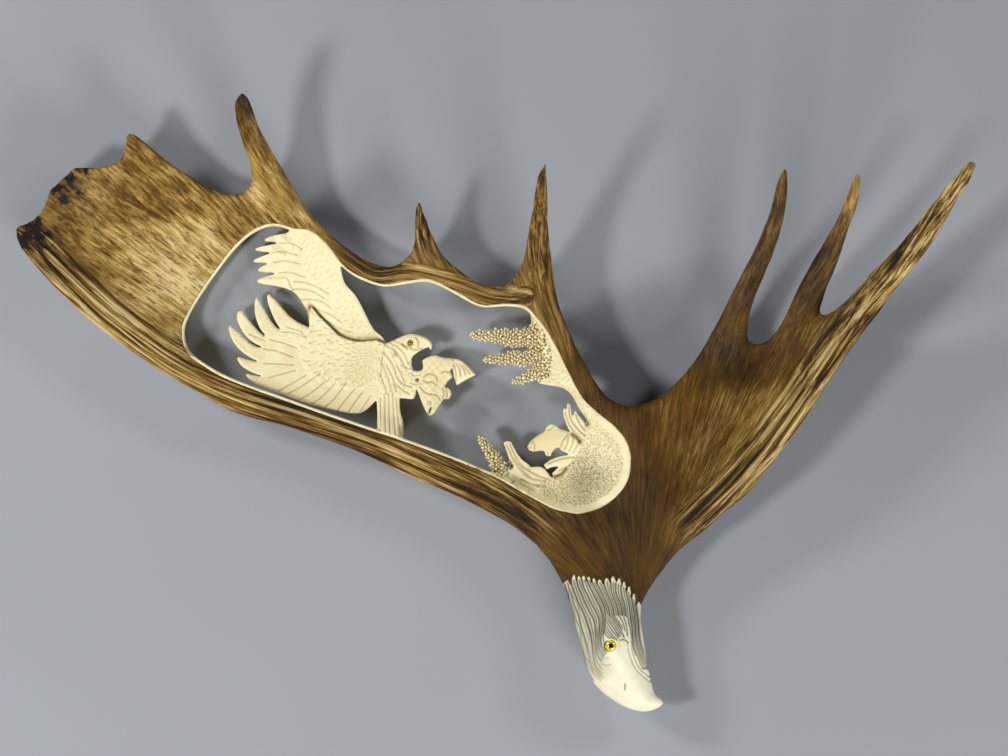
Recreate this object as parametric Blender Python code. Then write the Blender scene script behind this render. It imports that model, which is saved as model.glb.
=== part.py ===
"""A moose antler lying on its back, its palm pierced and carved, its stem carved as an eagle's head.

The antler is drawn as a plan (millimetres, seen from above) and two smooth height fields: where the
middle of the bone lies and how thick it is.  The plan is cut into triangles, and each triangle
gets an upper and a lower face, which gives closed solids.
"""

import math

import bmesh
import bpy
import numpy as np
from mathutils import Vector
from mathutils.geometry import delaunay_2d_cdt

MM = 0.001

# Fineness of the plan, in millimetres.
OUTLINE_TOLERANCE = 0.45      # how far the straight edges may leave the smooth antler outline
OUTLINE_LONGEST = 13.0        # longest straight edge of the antler outline
FIGURE_TOLERANCE = 0.3        # the same for the carved figures
FIGURE_LONGEST = 14.0
FILL_SPACING = 15.0           # spacing of the points inside the palms
CUT_SPACING = 5.0             # spacing of the points along the three lines of the fork

# Thickness, in millimetres: half of it, measured from the middle of the bone.
PALM_HALF = 6.0
FIGURE_HALF = 4.5
BANK_HALF = 8.0               # the carved bank, where it runs into the thick root of the palm
RIM_STEPS = (0.27, 1.0)       # points set in from the outline, as shares of the half thickness
EDGE_SHARE = 0.26             # height left at the outline itself, so that the edge is a narrow wall
NODE_GAP = 0.3                # gap between two parts of the antler, and round each eye

# A point with a third value, the word CORNER, stays sharp; all others are rounded.
CORNER = "corner"

# Outline of the whole antler, clockwise from the tip of the palm.
PALM_END = [
    (-439, 134), (-435, 138), (-428, 139), (-420, 146), (-414, 153), (-411, 162), (-408, 170),
    (-402, 174), (-399, 179), (-393, 182), (-388, 189), (-372, 189), (-360, 190), (-350, 193),
    (-343, 201), (-340, 210), (-340, 217), (-336.5, 220.6), (-326, 214), (-309, 199),
    (-290, 186), (-266, 171), (-247, 165), (-237, 166), (-230, 170),
]
FIRST_TINE = [
    (-227, 176), (-228, 193), (-236, 215), (-241, 236), (-241, 247), (-235, 255), (-229, 251),
    (-226, 241), (-219, 222), (-206, 199), (-188, 169), (-171, 143),
]
SECOND_TINE = [
    (-148, 122), (-130, 109), (-112, 101), (-101, 100), (-87, 108), (-80.5, 118), (-80, 132),
    (-80, 150), (-77, 158), (-73, 152), (-67, 134), (-57, 112),
]
THIRD_TINE = [
    (-39, 96), (-20, 84), (-2, 82), (12, 93), (19.5, 113), (22, 131), (26, 153), (31, 183),
    (37, 192), (38.5, 180), (38.5, 159), (41, 119), (48, 71), (60, 39), (76, 7), (92.5, -17.5),
]
FOURTH_TINE = [
    (112, -26), (125, -24), (140, -18), (153, -7), (174, 17.5), (190.5, 46), (207, 79),
    (225, 115), (239, 149), (244.5, 174), (252, 188), (254, 180), (252, 151), (244.5, 120),
    (234, 92), (223, 64), (219, 41), (221, 33),
]
FIFTH_TINE = [
    (228, 30), (237, 32), (252, 51), (262.5, 75), (275, 100), (289.5, 125), (304, 152.5),
    (311, 174), (316, 183), (319, 180), (318, 161), (309, 133), (299, 102), (288, 74), (285, 58),
]
SIXTH_TINE = [
    (292, 57), (310, 71.5), (331, 95), (350, 115), (369, 137), (387, 159), (405, 181),
    (416, 193), (421, 191), (419, 183), (408, 163), (385, 125.5), (354, 83), (323, 41), (295, 1),
]
BROW_EDGE = [
    (270, -37.5), (241, -75.5), (221.5, -102), (200, -120.5), (178, -139), (157.5, -155.5),
    (138.5, -179),
]
EAGLE_HEAD = [
    (123.5, -204), (122.6, -216), (126, -239), (129, -258), (132.5, -275), (134.8, -284.5),
    (139, -287.5), (143.3, -293), (140, -297), (126, -301), (113, -298), (97, -289.5),
    (81.5, -275.5), (74.5, -264), (69, -241), (63, -218), (57, -196),
]
LOWER_BEAM = [
    (50, -179), (40, -163), (24, -145), (8, -132.5), (-15, -120), (-45, -104.5), (-80, -89.5),
    (-120, -71.5), (-160, -56), (-200, -43.5), (-245, -30.5), (-275, -14.5), (-303, 1), (-330, 19),
    (-360, 42), (-388, 66), (-410, 88), (-424, 104), (-432, 113), (-438, 124),
]
ANTLER = (PALM_END + FIRST_TINE + SECOND_TINE + THIRD_TINE + FOURTH_TINE + FIFTH_TINE
          + SIXTH_TINE + BROW_EDGE + EAGLE_HEAD + LOWER_BEAM)

# The opening sawn through the palm.
WINDOW = [
    (-190, 133), (-209, 137.5), (-227, 131), (-243, 117), (-258, 98), (-274, 75), (-286.5, 53),
    (-289, 40), (-285, 25), (-275, 16), (-253.5, 3), (-226, -8), (-195, -19), (-164, -30),
    (-129, -42), (-93, -54), (-65, -64), (-31.5, -77), (-6, -88), (19, -102), (44, -115.4),
    (57, -118.8), (70, -120), (90, -113), (106, -98), (112, -80), (110, -62), (100, -47),
    (82, -32), (69, -19), (57, 3), (43, 31), (30.5, 50), (18, 62.6), (1.5, 65), (-21, 64),
    (-46, 77), (-68, 87), (-89, 85), (-109, 82.5), (-133.5, 91), (-148, 102), (-162, 120),
    (-176, 131),
]

# The flying eagle: the raised wing behind, grown from the rim of the window.
FAR_WING = [
    (-185, 141, CORNER), (-196, 131, CORNER), (-205, 129.3), (-211.5, 127.7), (-215.6, 125.7),
    (-216, 123.9), (-212, 123.2), (-200, 122.2, CORNER), (-208, 120.7), (-217, 119.2),
    (-223.8, 117.3), (-225, 115.7), (-221, 114.5), (-207, 113.4, CORNER), (-213.5, 112),
    (-219, 109.4), (-225.6, 107), (-226.6, 105), (-221, 104), (-205, 104.8, CORNER),
    (-212.5, 103.6), (-217, 101.6), (-221.8, 98.7), (-222.2, 96.7), (-214, 95.4),
    (-201, 95.2, CORNER), (-209, 93.3), (-217, 91.4), (-222.6, 89), (-223, 86.8), (-217, 84.6),
    (-209, 84.2), (-200, 82), (-192, 79.4), (-185.5, 73.6), (-180, 65), (-176.7, 57),
    (-176, 45.5, CORNER), (-150, 15, CORNER),
    (-104, 25, CORNER), (-110, 37), (-117, 42), (-125, 57), (-132.6, 72.6), (-137, 78),
    (-143.5, 84), (-146, 91), (-147.5, 99.5, CORNER), (-152, 120, CORNER),
]
# The near wing with the body, the tail that stands on the rim, the leg and the head.
NEAR_WING = [
    (-176, 45.5, CORNER), (-188, 51), (-195, 56.3), (-201, 64), (-207, 70), (-212.2, 75.6),
    (-214, 74.6), (-213, 66), (-209.3, 57), (-205.5, 49), (-199.5, 41.2, CORNER), (-207.6, 46.4),
    (-211, 52), (-216, 60), (-220, 67), (-223.2, 72.4), (-225.2, 70.6), (-225.5, 60),
    (-222.6, 49), (-218.3, 41.3), (-210.3, 35, CORNER), (-218.5, 38.2), (-224, 44.3),
    (-231, 52), (-237.6, 60.6), (-240.6, 59.6), (-241.4, 53), (-238, 44.5), (-231.4, 35.6),
    (-224, 30.6), (-215.5, 26.8, CORNER), (-226, 28.4), (-233, 34), (-241, 42.3),
    (-247.6, 47), (-249, 45), (-246.5, 36), (-241, 27.6), (-233, 20.8), (-224, 15.8),
    (-216, 13.8, CORNER), (-226, 14.4), (-235, 17.4), (-240.4, 18.9), (-241, 17), (-238, 11.8),
    (-231, 6.6), (-222, 2.9), (-210, 0.5, CORNER), (-222, 1), (-232.6, 3.6), (-233, 2),
    (-230, -1.6), (-225.4, -5), (-213, -9.5),
    (-191.5, -18), (-179, -22.7), (-164, -26.6), (-148, -30.4), (-131, -32), (-123, -28),
    (-115, -19.6, CORNER), (-114.3, -35), (-115, -58, CORNER), (-93, -66, CORNER),
    (-90.5, -48), (-91, -39), (-94.3, -30), (-94.2, -18, CORNER), (-89, -18.5), (-82, -19),
    (-79.6, -14), (-79.5, -6), (-80.5, 0), (-80.5, 3), (-82.5, 8), (-84, 13), (-83, 19),
    (-79, 23), (-73, 26.5), (-67.5, 28, CORNER), (-66, 25, CORNER), (-64.6, 29.5),
    (-67.5, 35), (-74, 38), (-82, 40), (-89, 39), (-97, 35.5), (-107, 31), (-125, 34),
    (-150, 40),
]
HELD_FISH = [
    (-83, 7, CORNER), (-76.4, 5.8), (-73, 8.5), (-73.7, 16, CORNER), (-68, 19.4), (-61, 20.3),
    (-56, 18), (-44, 17.5), (-38, 15.5), (-30, 7.7), (-25.5, 3, CORNER), (-35.6, -2),
    (-42.5, -6.6, CORNER), (-44.5, -2), (-45.5, 6), (-46.6, 9.5, CORNER), (-49, 6, CORNER),
    (-46.6, 1, CORNER), (-51.6, -3.4), (-54, -8.4, CORNER), (-49, -10), (-47.5, -15),
    (-50, -19, CORNER), (-54, -18.5), (-58, -24), (-63, -32), (-67, -33.9), (-71, -29.5),
    (-75.5, -18.5), (-78.5, -10), (-83, -5, CORNER),
]

# Spruces: tip, foot, half width at the foot.
SPRUCES = [
    ((-30.5, 39.2), (35.0, 35.0), 11.6),
    ((-18.5, 16.6), (42.0, 19.4), 9.8),
    ((7.7, -4.4), (46.0, 11.5), 8.6),
    ((-22.5, -52.0), (2.5, -91.0), 9.2),
]
SPRUCE_TIERS_PER_MM = 0.205
SPRUCE_NOTCH = 0.7            # width left between two boughs, as a share of the width there

# The snow bank behind the spruces, between them and the rim.
TREE_BANK = [
    (34, 62, CORNER), (24, 62, CORNER), (25, 46), (24, 30), (28, 14), (33, 4), (31, -4),
    (37, -6), (44, -7), (52, -8), (57, -11), (62, -16), (66, -25), (70, -31), (74, -36),
    (77, -41, CORNER), (96, -30, CORNER), (75, 5, CORNER), (48, 50, CORNER),
]
# The pebbled bank that fills the rounded end of the window.
PEBBLE_BANK = [
    (76, -37, CORNER), (74, -42), (68, -50), (63, -52), (68, -57), (62, -68), (57, -72),
    (50, -83), (43, -90), (37, -84), (28, -84), (20, -80), (10, -84), (-4, -92), (-12, -98),
    (10, -108, CORNER), (44, -128, CORNER), (72, -130, CORNER), (100, -116, CORNER),
    (121, -90, CORNER), (119, -56, CORNER), (92, -28, CORNER),
]
DRIFTWOOD = [
    (70, -57, CORNER), (63, -51), (58, -46), (55, -38), (53, -31), (54, -27, CORNER),
    (56.6, -29), (57, -22.6, CORNER), (59.5, -24), (61, -37, CORNER), (64, -29.6, CORNER),
    (66, -33), (71, -38, CORNER), (76, -46, CORNER), (76, -56, CORNER),
]
LEAPING_FISH = [
    (21, -62), (24, -57), (30, -52), (36.5, -48.5), (38.5, -44), (42.4, -41.6, CORNER),
    (47, -43.5), (50.6, -46.6), (57, -48), (64, -50.5), (74, -55, CORNER), (70, -69, CORNER),
    (60, -69), (56, -67), (50.8, -65, CORNER), (51, -62.6, CORNER), (47, -63), (43, -67),
    (42, -70.6, CORNER), (38, -70, CORNER), (36, -65.5), (32, -66), (24, -66),
]
STUMP = [
    (-0.4, -58.4, CORNER), (2.5, -57), (6, -57.6, CORNER), (10, -66), (16.5, -74.6),
    (21.6, -77.5), (24, -80.6), (33, -80), (38, -83.6), (42, -90, CORNER), (28, -100, CORNER),
    (-2, -95, CORNER), (5.4, -82), (5.6, -76), (2.6, -66),
]
LOG = [
    (36, -78.4, CORNER), (40, -75), (45, -72.4), (53, -70), (64, -69, CORNER), (68, -80, CORNER),
    (56, -92, CORNER), (45, -89.5), (43.5, -86, CORNER), (50, -79.6), (42, -80.4),
    (38.6, -82.4, CORNER),
]
FIGURES = [FAR_WING, NEAR_WING, HELD_FISH, TREE_BANK, PEBBLE_BANK, DRIFTWOOD, LEAPING_FISH,
           STUMP, LOG]

# The antler is one piece that forks; it is parted at the fork, along three lines from one point.
FORK = (125.0, -128.0)
TO_NOTCH = (117.0, -24.0)
TO_LEFT_EDGE = (24.0, -141.0)
TO_RIGHT_EDGE = (180.0, -137.0)

# Where the middle of the bone lies above the floor: plan point, height.
MIDDLE_HEIGHTS = [
    (-436, 130, 50), (-400, 174, 46), (-338, 214, 50), (-320, 168, 24), (-390, 130, 24),
    (-310, 112, 6.5), (-260, 120, 12), (-345, 66, 20), (-395, 84, 34), (-350, 38, 33),
    (-300, 8, 31), (-245, -20, 30), (-260, 166, 30), (-226, 182, 44), (-234, 220, 70),
    (-237, 252, 98), (-190, 150, 30), (-140, 108, 30), (-100, 92, 30), (-76, 122, 44),
    (-77, 156, 66), (-30, 84, 35), (20, 84, 44), (30, 115, 62), (33, 150, 88), (36, 190, 122),
    (48, 50, 45), (85, -5, 48), (-235, 60, 14), (-190, 60, 15), (-130, 30, 17), (-60, 10, 20),
    (0, 15, 26), (40, 10, 33), (-180, -36, 29), (-100, -66, 29), (-30, -98, 31), (30, -130, 33),
    (40, -60, 27), (80, -85, 31), (112, -32, 49), (125, -128, 34), (80, -165, 30), (88, -200, 29),
    (98, -240, 32.5), (112, -275, 34), (140, -293, 33), (160, -70, 30), (150, -20, 38),
    (190, -38, 15), (238, 10, 7), (215, 25, 18), (192, 40, 34), (215, 78, 46), (233, 120, 72),
    (252, 186, 112), (228, 34, 22), (262, 60, 30), (282, 100, 52), (300, 135, 76),
    (316, 181, 108), (285, 50, 40), (172, -125, 38), (212, -92, 44), (248, -48, 52),
    (285, 6, 60), (322, 56, 72), (350, 100, 84), (385, 145, 104), (418, 190, 128),
]

# Thick ribs of bone: plan point, half thickness there, reach to each side.
LOWER_RIB = [
    (-432, 122, 7, 14), (-398, 88, 11, 22), (-352, 48, 13, 25), (-300, 12, 14, 27),
    (-245, -15, 14, 26), (-180, -37, 13.5, 25), (-120, -58, 14, 25), (-45, -91, 16, 28),
    (8, -118, 19, 36), (62, -152, 25, 52), (88, -190, 28, 60), (93, -215, 28.5, 60),
    (99, -245, 27, 60), (108, -270, 19, 50), (122, -288, 12, 40), (142, -293, 6, 40),
]
BROW_RIB = [
    (105, -150, 25, 50), (160, -133, 20, 40), (206, -92, 16, 31), (242, -50, 15, 29),
    (280, 3, 14, 27), (315, 50, 13, 25), (352, 95, 13, 24), (418, 190, 13, 24),
]
TREE_RIB = [
    (122, -128, 21, 46), (108, -50, 13, 30), (84, -4, 11, 26), (58, 30, 11, 24),
    (36, 70, 12, 26), (34, 110, 14, 26), (36, 190, 14, 24),
]
FIRST_TINE_RIB = [(-176, 138, 8, 20), (-212, 180, 12, 26), (-236, 252, 13, 24)]
SECOND_TINE_RIB = [(-66, 98, 8, 22), (-74, 122, 11, 22), (-77, 156, 11, 20)]
FOURTH_TINE_RIB = [(206, 50, 8, 20), (228, 96, 12, 22), (252, 186, 13, 22)]
FIFTH_TINE_RIB = [(262, 62, 9, 20), (284, 98, 12, 22), (316, 181, 13, 22)]
RIBS = [LOWER_RIB, BROW_RIB, TREE_RIB, FIRST_TINE_RIB, SECOND_TINE_RIB, FOURTH_TINE_RIB,
        FIFTH_TINE_RIB]

# Glass eyes.
HEAD_EYE = (96.2, -240.8)
HEAD_EYE_RADIUS = 6.6
HEAD_EYE_PROUD = 2.4
FLYER_EYE = (-84.5, 31.8)
FLYER_EYE_RADIUS = 2.2
FLYER_EYE_PROUD = 0.9


def catmull(a, b, c, d, steps):
    """Points from b up to, not with, c on the smooth curve through four points."""
    spans = [max(math.dist(p, q), 1e-6) ** 0.5 for p, q in ((a, b), (b, c), (c, d))]
    points = []
    for i in range(steps):
        t = i / steps
        point = []
        for pa, pb, pc, pd in zip(a, b, c, d):
            slope_b = ((pb - pa) / spans[0] - (pc - pa) / (spans[0] + spans[1])
                       + (pc - pb) / spans[1]) * spans[1]
            slope_c = ((pc - pb) / spans[1] - (pd - pb) / (spans[1] + spans[2])
                       + (pd - pc) / spans[2]) * spans[1]
            point.append((2 * t ** 3 - 3 * t ** 2 + 1) * pb + (t ** 3 - 2 * t ** 2 + t) * slope_b
                         + (3 * t ** 2 - 2 * t ** 3) * pc + (t ** 3 - t ** 2) * slope_c)
        points.append(tuple(point))
    return points


def smooth_loop(marked):
    """A closed curve through all points, sampled about every millimetre, sharp at the corners."""
    count = len(marked)
    flat = [(p[0], p[1]) for p in marked]
    sharp = [len(p) > 2 for p in marked]
    curve = []
    keep = []
    for i in range(count):
        b = flat[i]
        c = flat[(i + 1) % count]
        a = b if sharp[i] else flat[i - 1]
        d = c if sharp[(i + 1) % count] else flat[(i + 2) % count]
        if sharp[i]:
            a = (2 * b[0] - c[0], 2 * b[1] - c[1])
        if sharp[(i + 1) % count]:
            d = (2 * c[0] - b[0], 2 * c[1] - b[1])
        steps = max(int(math.dist(b, c)), 2)
        keep += [True] + [False] * (steps - 1)
        curve += catmull(a, b, c, d, steps)
    return curve, [k and sharp_here for k, sharp_here in zip(keep, spread(sharp, keep))]


def spread(values, marks):
    """Repeats each value from its mark to the next."""
    result = []
    index = -1
    for mark in marks:
        index += 1 if mark else 0
        result.append(values[index])
    return result


def thin_out(curve, corners, tolerance, longest):
    """Keeps only the curve points that the shape needs."""
    count = len(curve)
    kept = [0]
    start = 0
    while start < count:
        reach = start + 1
        while reach < count:
            nxt = reach + 1
            a = np.array(curve[start])
            b = np.array(curve[nxt % count])
            length = float(np.linalg.norm(b - a))
            if corners[reach % count] or length > longest or nxt > count:
                break
            between = np.array([curve[k % count] for k in range(start + 1, nxt)]) - a
            side = (b - a) / max(length, 1e-9)
            if np.abs(between[:, 0] * side[1] - between[:, 1] * side[0]).max() > tolerance:
                break
            reach = nxt
        if reach < count:
            kept.append(reach)
        start = reach
    return [curve[k] for k in kept]


def outline(marked, tolerance, longest):
    curve, corners = smooth_loop(marked)
    return thin_out(curve, corners, tolerance, longest)


def spruce(tip, foot, half_width):
    """A spruce lying along a line: boughs in tiers, wider towards the foot."""
    tip = np.array(tip)
    foot = np.array(foot)
    length = float(np.linalg.norm(foot - tip))
    along = (foot - tip) / length
    across = np.array((-along[1], along[0]))
    tiers = int(length * SPRUCE_TIERS_PER_MM)
    sides = []
    for side in (1, -1):
        edge = []
        for tier in range(1, tiers + 1):
            lean = 0.16 * math.sin(2.4 * tier + side)
            start = length * (tier - 0.35 + lean) / tiers
            reach = half_width * (0.22 + 0.78 * (tier / tiers) ** 0.8)
            reach *= 1 + 0.13 * math.sin(5.1 * tier + 2 * side)
            edge.append(tip + along * (start - 1.5) + across * side * reach * 0.95)
            edge.append(tip + along * (start + 0.5) + across * side * reach)
            edge.append(tip + along * (start + 1.5) + across * side * reach * SPRUCE_NOTCH)
        edge.append(foot + across * side * half_width * 0.8)
        sides.append(edge)
    points = [tip] + sides[0] + sides[1][::-1]
    return [(float(p[0]), float(p[1])) for p in points]


def segments(loop):
    start = np.array(loop)
    return start, np.roll(start, -1, axis=0)


def distance_to(points, start, end):
    """Distance of each point from the nearest of the straight pieces, and which piece that is."""
    span = end - start
    size = np.maximum((span ** 2).sum(1), 1e-12)
    share = ((points[:, None, :] - start[None]) * span[None]).sum(2) / size[None]
    share = np.clip(share, 0, 1)
    near = start[None] + share[..., None] * span[None]
    gap = np.sqrt(((points[:, None, :] - near) ** 2).sum(2))
    pick = gap.argmin(1)
    rows = np.arange(len(points))
    return gap[rows, pick], pick, share[rows, pick]


def inside(points, loop):
    """Whether each point lies inside a closed loop."""
    start, end = segments(loop)
    x = points[:, 0][:, None]
    y = points[:, 1][:, None]
    spans = (start[:, 1] > y) != (end[:, 1] > y)
    rise = np.where(end[:, 1] == start[:, 1], 1e-12, end[:, 1] - start[:, 1])
    crossing = start[:, 0] + (y - start[:, 1]) * (end[:, 0] - start[:, 0]) / rise
    return (spans & (x < crossing)).sum(1) % 2 == 1


def plate_field(controls):
    """The smoothest surface through all control heights, as a function of plan points."""
    known = np.array([c[:2] for c in controls], float)
    heights = np.array([c[2] for c in controls], float)

    def kernel(gaps):
        squared = np.maximum(gaps, 1e-9)
        return squared * np.log(squared)

    count = len(known)
    matrix = np.zeros((count + 3, count + 3))
    matrix[:count, :count] = kernel(((known[:, None] - known[None]) ** 2).sum(2) / 1e4)
    matrix[:count, count] = 1
    matrix[:count, count + 1:] = known / 100
    matrix[count:, :count] = matrix[:count, count:].T
    weights = np.linalg.solve(matrix, np.concatenate([heights, np.zeros(3)]))

    def height(points):
        points = np.asarray(points, float)
        bend = kernel(((points[:, None] - known[None]) ** 2).sum(2) / 1e4) @ weights[:count]
        return bend + weights[count] + points / 100 @ weights[count + 1:]

    return height


def full_half(points):
    """Half thickness that the bone would have here if its outline didn't narrow it."""
    half = np.full(len(points), PALM_HALF)
    for rib in RIBS:
        line = np.array(rib, float)
        gap, piece, share = distance_to(points, line[:-1, :2], line[1:, :2])
        depth = line[piece, 2] + share * (line[piece + 1, 2] - line[piece, 2])
        reach = line[piece, 3] + share * (line[piece + 1, 3] - line[piece, 3])
        fade = np.clip((gap / reach - 0.4) / 0.6, 0, 1)
        weight = 1 - fade * fade * (3 - 2 * fade)
        half = np.maximum(half, PALM_HALF + (depth - PALM_HALF) * weight)
    return half


class Bone:
    """Middle height and half thickness over the plan."""

    def __init__(self, antler, window):
        self.middle = plate_field(MIDDLE_HEIGHTS)
        self.edge = segments(antler)
        self.antler = antler
        self.window = window
        low = np.min(antler, axis=0)
        high = np.max(antler, axis=0)
        grid = np.stack(np.meshgrid(np.arange(low[0], high[0], 4.0),
                                    np.arange(low[1], high[1], 4.0)), -1).reshape(-1, 2)
        grid = grid[inside(grid, antler)]
        rings = [distance_to(part, *self.edge)[0] for part in np.array_split(grid, 12)]
        self.balls = grid
        self.ball_radius = np.concatenate(rings)

    def depth(self, points):
        """Distance of each point from the antler's outline."""
        parts = np.array_split(points, max(len(points) // 1200, 1))
        return np.concatenate([distance_to(part, *self.edge)[0] for part in parts])

    def half_width(self, points):
        """Radius of the largest circle that fits the outline and covers the point."""
        widths = []
        for part in np.array_split(points, max(len(points) // 400, 1)):
            gap = np.sqrt(((part[:, None] - self.balls[None]) ** 2).sum(2))
            covered = np.where(gap <= self.ball_radius[None] + 1.5, self.ball_radius[None], 0)
            widths.append(covered.max(1))
        return np.maximum(np.concatenate(widths), 2.4)

    def rounding(self, points):
        """Half thickness that counts at each point: the bone's own, or the outline's if less."""
        return np.minimum(full_half(points), self.half_width(points))

    def half(self, points):
        """Half thickness of the solid at each point."""
        full = self.rounding(points)
        depth = np.minimum(self.depth(points) / full, 1)
        round_edge = np.sqrt(np.maximum(1 - (1 - depth) ** 2, 0))
        return full * np.maximum(round_edge, EDGE_SHARE)


def fork_sectors():
    """The three parts of the plan, each set back from the fork lines by half the gap."""
    fork = np.array(FORK)
    ends = [np.array(TO_NOTCH), np.array(TO_LEFT_EDGE), np.array(TO_RIGHT_EDGE)]
    ways = [(end - fork) / np.linalg.norm(end - fork) for end in ends]
    order = (("main_palm", 0, 1), ("beam", 1, 2), ("brow_palm", 2, 0))
    sectors = {}
    for name, first, second in order:
        middle = ways[first] + ways[second]
        if ways[first][0] * ways[second][1] - ways[first][1] * ways[second][0] < 0:
            middle = -middle
        middle = middle / np.linalg.norm(middle)
        half_angle = abs(ways[first][0] * middle[1] - ways[first][1] * middle[0])
        apex = fork + middle * NODE_GAP / 2 / half_angle
        far = [apex + ways[first] * 900, apex + middle * 1400, apex + ways[second] * 900]
        sectors[name] = [tuple(apex)] + [tuple(p) for p in far]
    return sectors


def inset_points(loop, bone):
    """Points set in from the outline, so that the rounded edge has its shape."""
    start = np.array(loop)
    along = np.roll(start, -1, axis=0) - np.roll(start, 1, axis=0)
    along /= np.linalg.norm(along, axis=1)[:, None]
    turn = np.stack([along[:, 1], -along[:, 0]], 1)
    probe = start + turn * 0.5
    turn[~inside(probe, loop)] *= -1
    radius = bone.rounding(start + turn * 1.0)
    points = []
    for share in RIM_STEPS:
        shifted = start + turn * (radius * share)[:, None]
        within = inside(shifted, loop)
        room = bone.depth(shifted) > 0.9 * share * radius
        points.append(shifted[within & room])
    return np.concatenate(points)


def well_spaced(candidates, fixed, spacing):
    """Candidates that stay clear of the fixed points and of each other."""
    kept = list(fixed)
    chosen = []
    for point, gap in zip(candidates, spacing):
        known = np.array(kept)
        if ((known - point) ** 2).sum(1).min() > gap * gap:
            kept.append(point)
            chosen.append(point)
    return chosen


def plan_triangles(antler, window, figures, bone, sectors):
    """Cuts the plan into triangles that follow every outline."""
    loops = [antler, window] + figures
    points = []
    edges = []
    for loop in loops:
        first = len(points)
        points += [tuple(p) for p in loop]
        edges += [(first + i, first + (i + 1) % len(loop)) for i in range(len(loop))]
    for sector in sectors.values():
        for end in (sector[1], sector[3]):
            first = len(points)
            way = np.array(end) - sector[0]
            way /= np.linalg.norm(way)
            stops = np.arange(0, 165, CUT_SPACING)
            points += [tuple(np.array(sector[0]) + way * stop) for stop in stops]
            edges += [(first + i, first + i + 1) for i in range(len(stops) - 1)]
    rim = inset_points(antler, bone)
    low = np.min(antler, axis=0)
    high = np.max(antler, axis=0)
    rows = []
    for row, y in enumerate(np.arange(low[1], high[1], FILL_SPACING * 0.87)):
        start = low[0] + (row % 2) * FILL_SPACING / 2
        rows += [(x, y) for x in np.arange(start, high[0], FILL_SPACING)]
    fill = np.array(rows)
    fill = fill[inside(fill, antler)]
    fill = fill[bone.depth(fill) > 4.0]
    extra = np.concatenate([rim, fill])
    spacing = np.concatenate([np.minimum(bone.rounding(rim) * 0.24, 3.2),
                              np.full(len(fill), FILL_SPACING * 0.6)])
    walls = np.concatenate([np.array(loop) for loop in loops[1:]])
    in_window = inside(extra, window)
    in_figure = np.zeros(len(extra), bool)
    for figure in figures:
        in_figure |= inside(extra, figure)
    usable = ~in_window | in_figure
    extra = extra[usable]
    spacing = spacing[usable]
    clear = distance_to(extra, *segments(window))[0] > 3.0
    for figure in figures:
        clear &= distance_to(extra, *segments(figure))[0] > 2.0
    for sector in sectors.values():
        line = np.array([sector[1], sector[0], sector[3]])
        clear &= distance_to(extra, line[:-1], line[1:])[0] > 2.5
    extra = extra[clear]
    spacing = spacing[clear]
    chosen = well_spaced(extra, list(np.array(antler)) + list(walls), spacing)
    points += [tuple(p) for p in chosen]
    result = delaunay_2d_cdt([Vector(p) for p in points], edges, [], 0, 1e-4, False)
    return np.array([tuple(v) for v in result[0]]), [tuple(face) for face in result[2]]


def kept_triangles(points, faces, antler, window, figures):
    centres = points[np.array(faces)].mean(1)
    keep = ~inside(centres, window)
    for figure in figures:
        keep |= inside(centres, figure)
    keep &= inside(centres, antler)
    return [face for face, wanted in zip(faces, keep) if wanted], centres[keep]


def in_one_piece(faces):
    """Drops triangles that hang on by a single point, and keeps the largest connected set."""
    edge_faces = {}
    for index, face in enumerate(faces):
        for a, b in zip(face, face[1:] + face[:1]):
            edge_faces.setdefault((min(a, b), max(a, b)), []).append(index)
    label = [-1] * len(faces)
    groups = []
    for seed in range(len(faces)):
        if label[seed] >= 0:
            continue
        stack = [seed]
        label[seed] = len(groups)
        members = []
        while stack:
            index = stack.pop()
            members.append(index)
            face = faces[index]
            for a, b in zip(face, face[1:] + face[:1]):
                for other in edge_faces[(min(a, b), max(a, b))]:
                    if label[other] < 0:
                        label[other] = len(groups)
                        stack.append(other)
        groups.append(members)
    largest = max(groups, key=len)
    return [faces[i] for i in largest]


def pinched(faces):
    """Plan points at which two fans of triangles meet without sharing an edge."""
    around = {}
    for face in faces:
        for corner in face:
            around.setdefault(corner, []).append(face)
    found = {}
    for corner, fans in around.items():
        rest = [set(face) - {corner} for face in fans]
        groups = []
        for index, others in enumerate(rest):
            joined = [g for g in groups if any(rest[i] & others for i in g)]
            merged = [index] + [i for g in joined for i in g]
            groups = [g for g in groups if g not in joined] + [merged]
        if len(groups) > 1:
            found[corner] = [fans[i] for i in min(groups, key=len)]
    return found


def build_solid(name, points, faces, top, bottom, colour, roughness):
    used = sorted({corner for face in faces for corner in face})
    mesh = bmesh.new()
    upper = {}
    lower = {}
    for corner in used:
        x, y = points[corner]
        upper[corner] = mesh.verts.new((x * MM, y * MM, top[corner] * MM))
        lower[corner] = mesh.verts.new((x * MM, y * MM, bottom[corner] * MM))
    border = {}
    for face in faces:
        (ax, ay), (bx, by), (cx, cy) = (points[corner] for corner in face)
        if (bx - ax) * (cy - ay) - (by - ay) * (cx - ax) < 0:
            face = face[::-1]
        mesh.faces.new([upper[corner] for corner in face])
        mesh.faces.new([lower[corner] for corner in face[::-1]])
        for a, b in zip(face, face[1:] + face[:1]):
            if (b, a) in border:
                del border[(b, a)]
            else:
                border[(a, b)] = True
    for a, b in border:
        mesh.faces.new([upper[b], upper[a], lower[a], lower[b]])
    data = bpy.data.meshes.new(name)
    bmesh.ops.triangulate(mesh, faces=[f for f in mesh.faces if len(f.verts) > 3])
    mesh.normal_update()
    mesh.to_mesh(data)
    mesh.free()
    return add_object(name, data, colour, roughness)


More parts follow.
